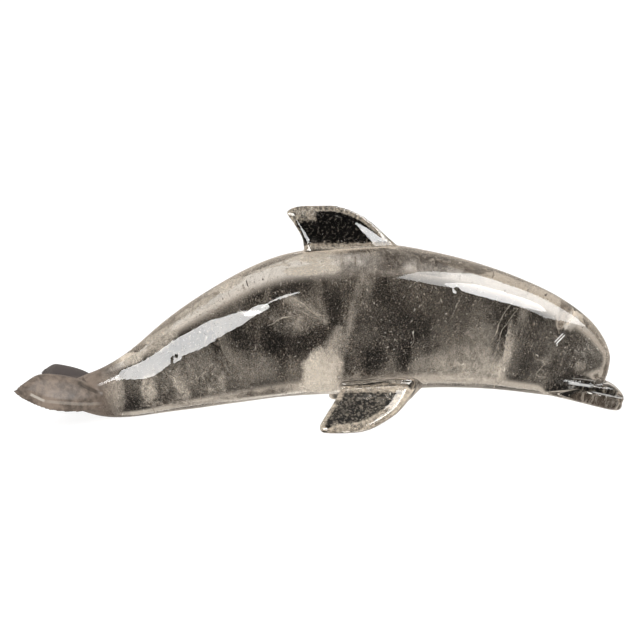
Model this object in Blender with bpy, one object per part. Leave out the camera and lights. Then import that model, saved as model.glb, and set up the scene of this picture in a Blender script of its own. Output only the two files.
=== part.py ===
"""A dolphin carved from one piece of clear rock crystal, arched over its own fins.

The body is a row of rounded sections between a back line and a belly line.
Jaws, fins and flukes are lofted on their own and united with it, because the
real one is ground from a single stone. It stands on the lower edges of its two
pectoral fins and on the underside of its tail, where small spots are ground flat.

Axes: +X runs from the flukes to the beak, +Z up, and Y = 0 is the plane of symmetry.
The origin is on the surface that it stands on, below the middle of its box.
"""

import math

import bmesh
import bpy
import numpy as np
from mathutils import Vector

# Driving dimension, in metres: from the tips of the flukes to the tip of the beak.
LENGTH = 0.210

# The carving's proportions are shares of its length, in hundredths.
SHARE = LENGTH / 100

# Body: place along the length, height of the back, height of the belly, half width.
BODY_STATIONS = (
    (-44.3, 4.4, 3.1, 0.5),
    (-42.9, 5.6, 2.1, 2.0),
    (-41.0, 6.8, 1.2, 2.9),
    (-38.1, 8.1, 0.25, 3.4),
    (-34.3, 10.2, -0.12, 3.6),
    (-28.6, 14.35, 0.45, 4.7),
    (-21.9, 19.4, 1.4, 6.5),
    (-14.3, 23.95, 2.45, 8.4),
    (-6.7, 26.95, 3.45, 9.7),
    (1.9, 28.3, 3.85, 10.3),
    (11.4, 28.5, 4.45, 9.8),
    (21.4, 26.7, 4.75, 8.6),
    (29.5, 24.2, 4.25, 7.3),
    (36.2, 21.4, 3.3, 6.1),
    (41.4, 18.3, 2.75, 5.0),
    (44.8, 15.3, 3.6, 3.9),
    (46.9, 12.2, 5.6, 2.5),
    (47.75, 9.7, 9.0, 0.35),
)
BODY_SQUARENESS = 2.2
BODY_RINGS = 44
BODY_SIDES = 36

# Jaws: place along the length, upper line, lower line, half width.
UPPER_JAW_STATIONS = (
    (36.0, 8.6, 5.4, 3.3),
    (42.0, 7.3, 4.3, 3.5),
    (46.2, 5.8, 3.1, 2.75),
    (48.4, 4.55, 2.25, 2.1),
    (49.65, 3.2, 1.9, 1.2),
    (50.0, 2.45, 2.1, 0.3),
)
LOWER_JAW_STATIONS = (
    (36.0, 5.7, 3.6, 2.9),
    (42.0, 4.4, 2.05, 3.0),
    (46.0, 3.2, 1.05, 2.4),
    (48.2, 2.35, 0.5, 1.75),
    (49.3, 1.85, 0.55, 1.1),
    (49.7, 1.5, 1.0, 0.3),
)
JAW_SQUARENESS = 2.4
JAW_RINGS = 12
JAW_SIDES = 20

# Eye: a shallow round hollow on each side of the head.
EYE_X = 39.0 * SHARE
EYE_Z = 13.5 * SHARE
EYE_RADIUS = 0.0024
EYE_DEPTH = 0.0006

# Fins: distance out from the root line, place of the trailing edge, of the leading edge.
DORSAL_STATIONS = (
    (-2.0, -2.0, 14.8),
    (-0.4, -2.6, 13.1),
    (1.2, -2.85, 11.3),
    (2.9, -3.75, 9.65),
    (4.4, -4.75, 7.95),
    (5.5, -5.45, 6.1),
    (6.2, -5.0, 4.3),
    (6.75, -2.4, 1.6),
)
DORSAL_ROOT_Z = 28.6 * SHARE
DORSAL_THICKNESS = 0.0052
DORSAL_TIP_THICKNESS = 0.0030
DORSAL_BEVEL = 0.0026

PECTORAL_STATIONS = (
    (-2.4, 3.8, 16.9),
    (0.0, 3.3, 15.2),
    (1.9, 2.6, 14.2),
    (3.6, 1.85, 13.3),
    (5.3, 1.05, 12.0),
    (6.6, 0.5, 10.5),
    (7.9, 0.15, 8.7),
    (8.7, 0.6, 6.9),
    (9.15, 1.5, 5.1),
    (9.3, 2.6, 3.8),
)
PECTORAL_ROOT_Y = 6.3 * SHARE
PECTORAL_ROOT_Z = 5.2 * SHARE
PECTORAL_DROOP = math.radians(35)
PECTORAL_THICKNESS = 0.0060
PECTORAL_TIP_THICKNESS = 0.0034
PECTORAL_BEVEL = 0.0042

FIN_ROWS = 14
FIN_SIDE_POINTS = 9
FIN_ROOT_FLARE = 0.0030

# Flukes, from inside the tail to the tip: x, y, z of the leading edge, of the crest
# and of the rear edge, all on the middle surface of a thick bent petal.
FLUKE_STATIONS = (
    (-33.6, 0.5, 3.2, -38.1, 0.5, 3.8, -44.3, 0.15, 3.3),
    (-35.8, 2.5, 2.3, -39.3, 1.7, 4.5, -45.2, 1.0, 3.6),
    (-37.8, 5.0, 1.95, -40.7, 3.3, 5.7, -45.8, 2.1, 4.2),
    (-40.0, 7.1, 1.9, -42.3, 4.8, 6.4, -46.6, 3.6, 5.0),
    (-42.4, 8.6, 2.15, -44.3, 6.1, 6.75, -47.3, 5.2, 5.8),
    (-44.9, 9.7, 2.8, -46.1, 7.6, 6.85, -48.0, 7.1, 6.3),
    (-47.2, 10.6, 3.95, -47.7, 9.2, 6.7, -48.7, 8.9, 6.5),
    (-49.1, 11.1, 5.15, -49.1, 10.6, 6.3, -49.5, 10.5, 6.3),
    (-49.9, 11.3, 5.85, -49.9, 11.2, 6.05, -49.95, 11.1, 6.05),
)
FLUKE_ROWS = 16
FLUKE_THICKNESS = 0.0056
FLUKE_TIP_THICKNESS = 0.0030
FLUKE_BEVEL = 0.0034
# The tail is not carved quite square to the body: its right side sits higher.
TAIL_TWIST = math.radians(3.5)

# The thinnest that a rounded end is left at, as a distance from the end.
END_CLEARANCE = 0.0002

CRYSTAL_COLOUR = (0.42, 0.39, 0.36, 1.0)


def clear_scene():
    """Remove what the file holds."""
    for old in list(bpy.data.objects):
        bpy.data.objects.remove(old)


def smooth_rows(stations, count):
    """Rows read from a natural cubic spline through the stations, evenly along its length."""
    points = np.array(stations, dtype=float)
    steps = np.linalg.norm(np.diff(points, axis=0), axis=1)
    knots = np.concatenate(([0.0], np.cumsum(steps)))
    size = len(points)
    system = np.eye(size)
    right_side = np.zeros_like(points)
    for i in range(1, size - 1):
        before, after = steps[i - 1], steps[i]
        system[i, i - 1 : i + 2] = before, 2 * (before + after), after
        slope_after = (points[i + 1] - points[i]) / after
        slope_before = (points[i] - points[i - 1]) / before
        right_side[i] = 6 * (slope_after - slope_before)
    bends = np.linalg.solve(system, right_side)
    rows = []
    for place in np.linspace(0.0, knots[-1], count):
        i = min(int(np.searchsorted(knots, place, side="right")) - 1, size - 2)
        width = steps[i]
        a, b = knots[i + 1] - place, place - knots[i]
        curve = (bends[i] * a**3 + bends[i + 1] * b**3) / (6 * width)
        line = points[i] * a / width + points[i + 1] * b / width
        pull = (bends[i] * a + bends[i + 1] * b) * width / 6
        rows.append(curve + line - pull)
    return rows


def add_object(name, bm):
    """Turn a bmesh into a named object with outward faces."""
    bmesh.ops.recalc_face_normals(bm, faces=bm.faces)
    mesh = bpy.data.meshes.new(name)
    bm.to_mesh(mesh)
    bm.free()
    piece = bpy.data.objects.new(name, mesh)
    bpy.context.collection.objects.link(piece)
    return piece


def loft(name, rings):
    """A closed skin through rings of equally many points, with a pole at each end."""
    bm = bmesh.new()
    loops = [[bm.verts.new(point) for point in ring] for ring in rings]
    for near, far in zip(loops, loops[1:]):
        for i in range(len(near)):
            j = (i + 1) % len(near)
            bm.faces.new((near[i], near[j], far[j], far[i]))
    for ring, loop in ((rings[0], loops[0]), (rings[-1], loops[-1])):
        pole = bm.verts.new(sum((Vector(point) for point in ring), Vector()) / len(ring))
        for i in range(len(loop)):
            bm.faces.new((loop[i], loop[(i + 1) % len(loop)], pole))
    return add_object(name, bm)


def rounded_ring(x, top, bottom, half_width, squareness, sides):
    """A superellipse in the plane at x, between two heights."""
    middle, half_height = (top + bottom) / 2, (top - bottom) / 2
    ring = []
    for i in range(sides):
        angle = 2 * math.pi * i / sides
        across, rise = math.cos(angle), math.sin(angle)
        y = half_width * math.copysign(abs(across) ** (2 / squareness), across)
        z = middle + half_height * math.copysign(abs(rise) ** (2 / squareness), rise)
        ring.append((x * SHARE, y * SHARE, z * SHARE))
    return ring


def make_trunk(name, stations, squareness, count, sides):
    """A body or a jaw: rounded sections between an upper line and a lower line."""
    rings = [rounded_ring(*row, squareness, sides) for row in smooth_rows(stations, count)]
    return loft(name, rings)


def edge_spots():
    """Shares of the way across a fin, closer together at its two edges."""
    return [(1 - math.cos(math.pi * i / FIN_SIDE_POINTS)) / 2 for i in range(FIN_SIDE_POINTS + 1)]


def plate_ring(line, normals, half_thickness, bevel):
    """A section of a fin about its middle line, with a rounded bevel down to both edges."""
    run = [0.0]
    for here, there in zip(line, line[1:]):
        run.append(run[-1] + (there - here).length)
    reach = min(bevel, run[-1] / 2)
    upper, lower = [], []
    for point, normal, distance in zip(line, normals, run):
        depth = min(distance, run[-1] - distance, reach) / reach
        lift = half_thickness * math.sqrt(max(0.0, 1 - (1 - depth) ** 2))
        upper.append(point + normal * lift)
        lower.append(point - normal * lift)
    return upper + lower[-2:0:-1]


def rounding(distance, bevel):
    """Share of the full thickness at a distance from an end: a quarter circle one bevel wide."""
    inward = min((distance + END_CLEARANCE) / bevel, 1.0)
    return math.sqrt(1 - (1 - inward) ** 2)


def fin_half_thickness(out, reach, root, tip, bevel):
    """Half the thickness at a distance out: flared at the root, tapering to a rounded tip."""
    share = min(max(out / reach, 0.0), 1.0)
    flare = FIN_ROOT_FLARE * math.exp(-max(out, 0.0) / FIN_ROOT_FLARE)
    return (root + (tip - root) * share + flare) / 2 * rounding(reach - out, bevel)


def make_fin(name, stations, place, normal, root, tip, bevel):
    """A fin whose sections run along X; place gives a point from x and the distance out."""
    rings = []
    reach = stations[-1][0] * SHARE
    for out, trailing, leading in smooth_rows(stations, FIN_ROWS):
        half = fin_half_thickness(out * SHARE, reach, root, tip, bevel)
        front, rear = (Vector(place(x * SHARE, out * SHARE)) for x in (leading, trailing))
        line = [front.lerp(rear, spot) for spot in edge_spots()]
        rings.append(plate_ring(line, [Vector(normal)] * len(line), half, bevel))
    return loft(name, rings)


def make_dorsal_fin():
    """The fin on the back, swept towards the tail."""
    return make_fin(
        "dorsal_fin",
        DORSAL_STATIONS,
        lambda x, out: (x, 0.0, DORSAL_ROOT_Z + out),
        (0.0, 1.0, 0.0),
        DORSAL_THICKNESS,
        DORSAL_TIP_THICKNESS,
        DORSAL_BEVEL,
    )


def make_pectoral_fin(side):
    """A fin below the chest, drooping outwards to the ground; side is 1 or -1."""
    across, down = math.cos(PECTORAL_DROOP), math.sin(PECTORAL_DROOP)

    def place(x, out):
        return (x, side * (PECTORAL_ROOT_Y + out * across), PECTORAL_ROOT_Z - out * down)

    return make_fin(
        f"pectoral_fin_{side}",
        PECTORAL_STATIONS,
        place,
        (0.0, side * down, across),
        PECTORAL_THICKNESS,
        PECTORAL_TIP_THICKNESS,
        PECTORAL_BEVEL,
    )


def fluke_line(row, side):
    """The middle line of a fluke's section: a parabola through its edges and its crest."""
    front, crest, rear = (
        Vector((x, side * y, z - side * y * math.tan(TAIL_TWIST))) * SHARE
        for x, y, z in (row[0:3], row[3:6], row[6:9])
    )
    return [
        front * (1 - w) * (1 - 2 * w) + crest * 4 * w * (1 - w) + rear * w * (2 * w - 1)
        for w in edge_spots()
    ]


def make_fluke(side):
    """Half of the tail fin: a thick petal with a raised crest; side is 1 or -1."""
    lines = [fluke_line(row, side) for row in smooth_rows(FLUKE_STATIONS, FLUKE_ROWS)]
    last = len(lines) - 1
    middle = FIN_SIDE_POINTS // 2
    rings = []
    for i, line in enumerate(lines):
        before, after = lines[max(i - 1, 0)], lines[min(i + 1, last)]
        normals = []
        for j in range(len(line)):
            across = line[min(j + 1, len(line) - 1)] - line[max(j - 1, 0)]
            normals.append(across.cross(after[j] - before[j]).normalized())
        thickness = FLUKE_THICKNESS + (FLUKE_TIP_THICKNESS - FLUKE_THICKNESS) * i / last
        half = thickness / 2 * rounding((lines[last][middle] - line[middle]).length, FLUKE_BEVEL)
        rings.append(plate_ring(line, normals, half, FLUKE_BEVEL))
    return loft(f"fluke_{side}", rings)


def body_side(x, z):
    """Half the body's width at a place along it and a height."""
    rows = np.array(smooth_rows(BODY_STATIONS, 8 * BODY_RINGS)) * SHARE
    top, bottom, half = (np.interp(x, rows[:, 0], rows[:, i]) for i in (1, 2, 3))
    rise = abs(2 * z - top - bottom) / (top - bottom)
    return half * (1 - rise**BODY_SQUARENESS) ** (1 / BODY_SQUARENESS)


def make_eye_cutter(side):
    """A ball that leaves a shallow round hollow where it meets the head; side is 1 or -1."""
    step = EYE_RADIUS / 2
    along = (body_side(EYE_X + step, EYE_Z) - body_side(EYE_X - step, EYE_Z)) / (2 * step)
    rising = (body_side(EYE_X, EYE_Z + step) - body_side(EYE_X, EYE_Z - step)) / (2 * step)
    outward = Vector((-along, side, -rising)).normalized()
    ball_radius = (EYE_RADIUS**2 + EYE_DEPTH**2) / (2 * EYE_DEPTH)
    centre = Vector((EYE_X, side * body_side(EYE_X, EYE_Z), EYE_Z)) + outward * (ball_radius - EYE_DEPTH)
    bm = bmesh.new()
    bmesh.ops.create_icosphere(bm, subdivisions=4, radius=ball_radius)
    bmesh.ops.translate(bm, verts=bm.verts, vec=centre)
    return add_object(f"eye_cutter_{side}", bm)


def make_ground_block():
    """What lies below the standing surface: what reaches into it is ground off."""
    bm = bmesh.new()
    bmesh.ops.create_cube(bm, size=2 * LENGTH)
    bmesh.ops.translate(bm, verts=bm.verts, vec=(0.0, 0.0, -LENGTH))
    return add_object("ground_block", bm)


def apply_boolean(target, tool, operation):
    """Unite the target with a tool or cut the tool from it, and drop the tool."""
    modifier = target.modifiers.new(operation.lower(), "BOOLEAN")
    modifier.operation = operation
    modifier.solver = "EXACT"
    modifier.object = tool
    bpy.context.view_layer.update()
    graph = bpy.context.evaluated_depsgraph_get()
    result = bpy.data.meshes.new_from_object(target.evaluated_get(graph))
    target.modifiers.clear()
    old = target.data
    target.data = result
    bpy.data.meshes.remove(old)
    bpy.data.objects.remove(tool)


def crystal_material():
    """Polished clear stone with a smoky cast."""
    material = bpy.data.materials.new("rock_crystal")
    material.use_nodes = True
    shader = material.node_tree.nodes["Principled BSDF"]
    shader.inputs["Base Color"].default_value = CRYSTAL_COLOUR
    shader.inputs["Roughness"].default_value = 0.08
    shader.inputs["Metallic"].default_value = 0.0
    shader.inputs["IOR"].default_value = 1.54
    shader.inputs["Transmission Weight"].default_value = 0.8
    return material


def main():
    """Carve the dolphin."""
    clear_scene()
    dolphin = make_trunk("crystal_dolphin", BODY_STATIONS, BODY_SQUARENESS, BODY_RINGS, BODY_SIDES)
    additions = [
        make_trunk("upper_jaw", UPPER_JAW_STATIONS, JAW_SQUARENESS, JAW_RINGS, JAW_SIDES),
        make_trunk("lower_jaw", LOWER_JAW_STATIONS, JAW_SQUARENESS, JAW_RINGS, JAW_SIDES),
        make_dorsal_fin(),
    ]
    for side in (1, -1):
        additions += [make_pectoral_fin(side), make_fluke(side)]
    for piece in additions:
        apply_boolean(dolphin, piece, "UNION")
    for cutter in (make_eye_cutter(1), make_eye_cutter(-1), make_ground_block()):
        apply_boolean(dolphin, cutter, "DIFFERENCE")
    dolphin.data.materials.clear()
    dolphin.data.materials.append(crystal_material())
    dolphin.data.shade_smooth()
    dolphin.data.set_sharp_from_angle(angle=math.radians(40))


main()
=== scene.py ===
"""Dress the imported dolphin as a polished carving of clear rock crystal.

The skin is one closed surface: lofts of the body, jaws, fins and flukes are grown
together, smoothed as a polishing wheel would, and given the hand's slight waves, the
mouth, the eyes and a few pits. Veils, flecks and glints float in the stone behind it.

Lengths are in metres. Tables of the carving's form are in hundredths of its length.
Axes: +X from the flukes to the beak, +Y to the dolphin's left, +Z up.
"""

from __future__ import annotations

import logging
import math
from collections.abc import Callable
from dataclasses import dataclass
from enum import Enum
from functools import cached_property

import bpy
import numpy as np
from mathutils import Matrix, Vector

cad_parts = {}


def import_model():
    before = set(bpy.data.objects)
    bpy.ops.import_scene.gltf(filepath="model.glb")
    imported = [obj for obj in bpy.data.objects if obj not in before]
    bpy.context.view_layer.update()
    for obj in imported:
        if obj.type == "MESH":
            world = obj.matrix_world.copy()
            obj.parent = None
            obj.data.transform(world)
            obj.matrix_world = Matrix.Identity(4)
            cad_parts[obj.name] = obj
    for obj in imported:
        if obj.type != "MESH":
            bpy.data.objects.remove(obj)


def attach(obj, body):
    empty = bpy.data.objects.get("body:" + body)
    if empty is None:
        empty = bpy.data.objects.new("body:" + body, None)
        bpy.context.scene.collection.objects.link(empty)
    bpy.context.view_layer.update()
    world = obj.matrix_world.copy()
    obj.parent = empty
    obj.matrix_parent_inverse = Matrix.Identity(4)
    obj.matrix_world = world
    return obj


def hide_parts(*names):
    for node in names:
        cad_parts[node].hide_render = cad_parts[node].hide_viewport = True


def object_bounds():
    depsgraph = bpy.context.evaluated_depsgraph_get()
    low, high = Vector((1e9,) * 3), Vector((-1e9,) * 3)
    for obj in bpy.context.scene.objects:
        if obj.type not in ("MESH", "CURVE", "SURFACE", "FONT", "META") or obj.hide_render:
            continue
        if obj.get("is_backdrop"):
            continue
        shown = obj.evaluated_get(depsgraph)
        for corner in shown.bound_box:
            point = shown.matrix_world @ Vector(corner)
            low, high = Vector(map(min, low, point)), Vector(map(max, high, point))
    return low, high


Array = np.ndarray
Colour = tuple[float, float, float, float]
Span = tuple[float, float]
LOG = logging.getLogger("crystal_dolphin")

NODE = "crystal_dolphin"
BODY = "root"

# Lines over the side view, from x and z to x and z in hundredths of the length.
EYE_SLIT = ((38.45, 12.85), (39.95, 14.25))
MOUTH_LINE = ((44.6, 4.15), (50.2, 2.55))

# How far apart the two faces of a sheet in the stone lie, in metres.
SHEET_THICKNESS = 0.00002


def smooth_rows(stations: tuple, count: int) -> Array:
    """Rows of a natural cubic spline through the stations, evenly along its length.

    Args:
        stations: rows of numbers to pass through.
        count: how many rows to return.

    Returns:
        An array of count rows. Each is a cubic in the way gone since the last station,
        with second derivatives that make the slopes meet at every station.
    """
    points = np.asarray(stations, dtype=float)
    steps = np.linalg.norm(np.diff(points, axis=0), axis=1)
    knots = np.concatenate(([0.0], np.cumsum(steps)))
    inner = np.arange(1, len(points) - 1)
    system = np.eye(len(points))
    system[inner, inner - 1] = steps[:-1]
    system[inner, inner] = 2 * (steps[:-1] + steps[1:])
    system[inner, inner + 1] = steps[1:]
    slopes = np.diff(points, axis=0) / steps[:, None]
    right_side = np.zeros_like(points)
    right_side[1:-1] = 6 * np.diff(slopes, axis=0)
    bends = np.linalg.solve(system, right_side)
    places = np.linspace(0.0, knots[-1], count)
    i = np.clip(np.searchsorted(knots, places, side="right") - 1, 0, len(points) - 2)
    width, a, b = steps[i][:, None], (knots[i + 1] - places)[:, None], (places - knots[i])[:, None]
    curve = (bends[i] * a**3 + bends[i + 1] * b**3) / (6 * width)
    line = (points[i] * a + points[i + 1] * b) / width
    return curve + line - (bends[i] * a + bends[i + 1] * b) * width / 6


def ease(value: Array, low: float, high: float) -> Array:
    """0 below low, 1 above high, and a smooth S between them."""
    share = np.clip((value - low) / (high - low), 0.0, 1.0)
    return share * share * (3 - 2 * share)


def link(name: str, data: bpy.types.ID) -> bpy.types.Object:
    """Put an object in the scene, at the origin.

    Args:
        name: what it is called.
        data: its mesh, light or camera.

    Returns:
        The object.
    """
    piece = bpy.data.objects.new(name, data)
    bpy.context.scene.collection.objects.link(piece)
    return piece


def read_numbers(items: bpy.types.bpy_prop_collection, name: str, width: int, kind: type) -> Array:
    """Read one property of all items of a mesh.

    Args:
        items: its vertices or edges.
        name: the property.
        width: how many numbers each item has.
        kind: the numbers' type, as numpy calls it.

    Returns:
        An array (count, width).
    """
    numbers = np.empty(len(items) * width, kind)
    items.foreach_get(name, numbers)
    return numbers.reshape(-1, width)


@dataclass(frozen=True)
class Swell:
    """A gentle random swell over space, a sum of plane sine waves.

    Each wave has a random direction, phase and length, and is as high as its length's
    share of the longest. The sum is scaled by the square root of two over their number,
    which brings it to about one, and then by height.
    """

    height: float
    lengths: Span
    count: int
    seed: int = 0

    def at(self, points: Array, number: int = 0) -> Array:
        """The swell at some places.

        Args:
            points: places in metres (count, 3).
            number: which swell of this kind, counted from its seed.

        Returns:
            One number for each point.
        """
        random = np.random.default_rng(self.seed + number)
        directions = random.normal(size=(self.count, 3))
        directions /= np.linalg.norm(directions, axis=1, keepdims=True)
        lengths = random.uniform(*self.lengths, size=self.count)
        phases = random.uniform(0.0, 2 * math.pi, size=self.count)
        angles = points @ (directions * (2 * math.pi / lengths)[:, None]).T + phases
        total = (np.sin(angles) * lengths / max(self.lengths)).sum(axis=1)
        return self.height * (total * math.sqrt(2 / self.count))


@dataclass(frozen=True)
class Shell:
    """A closed mesh as whole arrays: its points, faces of four corners and of three."""

    points: Array
    quads: Array
    triangles: Array

    @staticmethod
    def loft(grid: Array) -> Shell:
        """Close a grid of rings into a shell with a pole at each end.

        Args:
            grid: points (rows, sides, 3), ring after ring.

        Returns:
            The shell. Each pole is the mean of its ring.
        """
        rows, sides = grid.shape[:2]
        index = np.arange(rows * sides).reshape(rows, sides)
        following = np.roll(index, -1, axis=1)
        quads = np.stack((index[:-1], following[:-1], following[1:], index[1:]), axis=-1)
        first, last = np.full(sides, rows * sides), np.full(sides, rows * sides + 1)
        start = np.stack((following[0], index[0], first), axis=-1)
        end = np.stack((index[-1], following[-1], last), axis=-1)
        poles = np.stack((grid[0].mean(axis=0), grid[-1].mean(axis=0)))
        points = np.concatenate((grid.reshape(-1, 3), poles))
        return Shell(points, quads.reshape(-1, 4), np.concatenate((start, end)))

    @staticmethod
    def joined(shells: list[Shell]) -> Shell:
        """Several shells as one list of points and faces, still separate bodies.

        Args:
            shells: what to join.

        Returns:
            One shell, with the points in the same order.
        """
        starts = np.cumsum([0] + [len(shell.points) for shell in shells[:-1]])
        pairs = list(zip(shells, starts))
        return Shell(
            np.concatenate([shell.points for shell in shells]),
            np.concatenate([shell.quads + start for shell, start in pairs]),
            np.concatenate([shell.triangles + start for shell, start in pairs]),
        )

    def add_to_scene(self, name: str) -> bpy.types.Object:
        """Put the shell in the scene at the origin.

        Args:
            name: what it is called.

        Returns:
            Its object.
        """
        mesh = bpy.data.meshes.new(name)
        mesh.from_pydata(self.points.tolist(), [], self.quads.tolist() + self.triangles.tolist())
        return link(name, mesh)


@dataclass(frozen=True)
class Trunk:
    """A body or a jaw: superellipse sections between an upper and a lower line.

    A station is the place along the length, the upper line, the lower line and half
    the width, in hundredths of the length.
    """

    stations: tuple
    squareness: float
    rows: int
    sides: int

    def shell(self, share: float) -> Shell:
        """Loft the sections. A section is |y / half width|^n + |rise / half height|^n = 1.

        Args:
            share: metres in a hundredth of the carving's length.

        Returns:
            The closed shell.
        """
        x, top, bottom, half = (smooth_rows(self.stations, self.rows) * share).T[..., None]
        angle = np.linspace(0.0, 2 * math.pi, self.sides, endpoint=False)
        across, rise = np.cos(angle), np.sin(angle)
        y = half * np.copysign(np.abs(across) ** (2 / self.squareness), across)
        lift = (top - bottom) / 2 * np.copysign(np.abs(rise) ** (2 / self.squareness), rise)
        return Shell.loft(np.stack((x + 0 * y, y, (top + bottom) / 2 + lift), axis=-1))

    def section_at(self, points: Array, share: float) -> tuple[Array, Array, Array]:
        """The section beside each point.

        Args:
            points: places in metres (count, 3).
            share: metres in a hundredth of the carving's length.

        Returns:
            The upper line, the lower line and half the width there.
        """
        x, *rows = (smooth_rows(self.stations, 2 * self.rows) * share).T
        top, bottom, half = (np.interp(points[:, 0], x, row) for row in rows)
        return top, bottom, half

    def reach_of(self, points: Array, share: float) -> Array:
        """How far out points lie.

        Args:
            points: places in metres (count, 3).
            share: metres in a hundredth of the carving's length.

        Returns:
            0 on the middle line, 1 on the surface and more outside.
        """
        top, bottom, half = self.section_at(points, share)
        rise = np.abs(2 * points[:, 2] - top - bottom) / (top - bottom)
        across = np.abs(points[:, 1]) / half
        return (across**self.squareness + rise**self.squareness) ** (1 / self.squareness)

    def middle_of(self, points: Array, share: float) -> Array:
        """The middle line's point beside each point."""
        top, bottom, _ = self.section_at(points, share)
        return np.stack((points[:, 0], 0 * top, (top + bottom) / 2), axis=-1)


@dataclass(frozen=True)
class Edge:
    """How a fin's edge is ground: a rounded rim, then a flat bevel up to the face.

    Sizes are in metres and radians.
    """

    rim: float
    bevel: float
    angle: float = math.radians(33)
    least_rim: float = 0.3

    def height(self, distance: Array, half_thickness: Array) -> Array:
        """Height above the middle surface at a distance in from the outline.

        A quarter ellipse over the rim, then a straight slope of the bevel's angle. The
        rim takes what height the bevel leaves, and at least a share of it all.

        Args:
            distance: metres in from the outline.
            half_thickness: the most that the height may be.

        Returns:
            The height, as an array like distance.
        """
        slope = math.tan(self.angle)
        least = self.least_rim * half_thickness
        rim_height = np.maximum(half_thickness - self.bevel * slope, least)
        inward = np.clip(distance / self.rim, 0.0, 1.0)
        rise = np.maximum(distance - self.rim, 0.0) * slope
        return np.minimum(rim_height * np.sqrt(1 - (1 - inward) ** 2) + rise, half_thickness)


def distance_to_line(points: Array, line: Array) -> Array:
    """Distance from each point to the nearest spot of a line of straight stretches.

    Args:
        points: places (..., 2).
        line: its corners (count, 2).

    Returns:
        One distance for each point.
    """
    start, run = line[:-1], np.diff(line, axis=0)
    along = ((points[..., None, :] - start) * run).sum(axis=-1) / (run**2).sum(axis=-1)
    nearest = start + np.clip(along, 0.0, 1.0)[..., None] * run
    return np.linalg.norm(points[..., None, :] - nearest, axis=-1).min(axis=-1)


def plate(lines: Array, normals: Array, lift: Array) -> Shell:
    """Loft a fin about its middle surface.

    Args:
        lines: points of the middle surface (rows, spots, 3).
        normals: the way up at each.
        lift: half the thickness at each.

    Returns:
        The closed shell.
    """
    upper = lines + normals * lift[..., None]
    lower = lines - normals * lift[..., None]
    return Shell.loft(np.concatenate((upper, lower[:, -2:0:-1]), axis=1))


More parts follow.
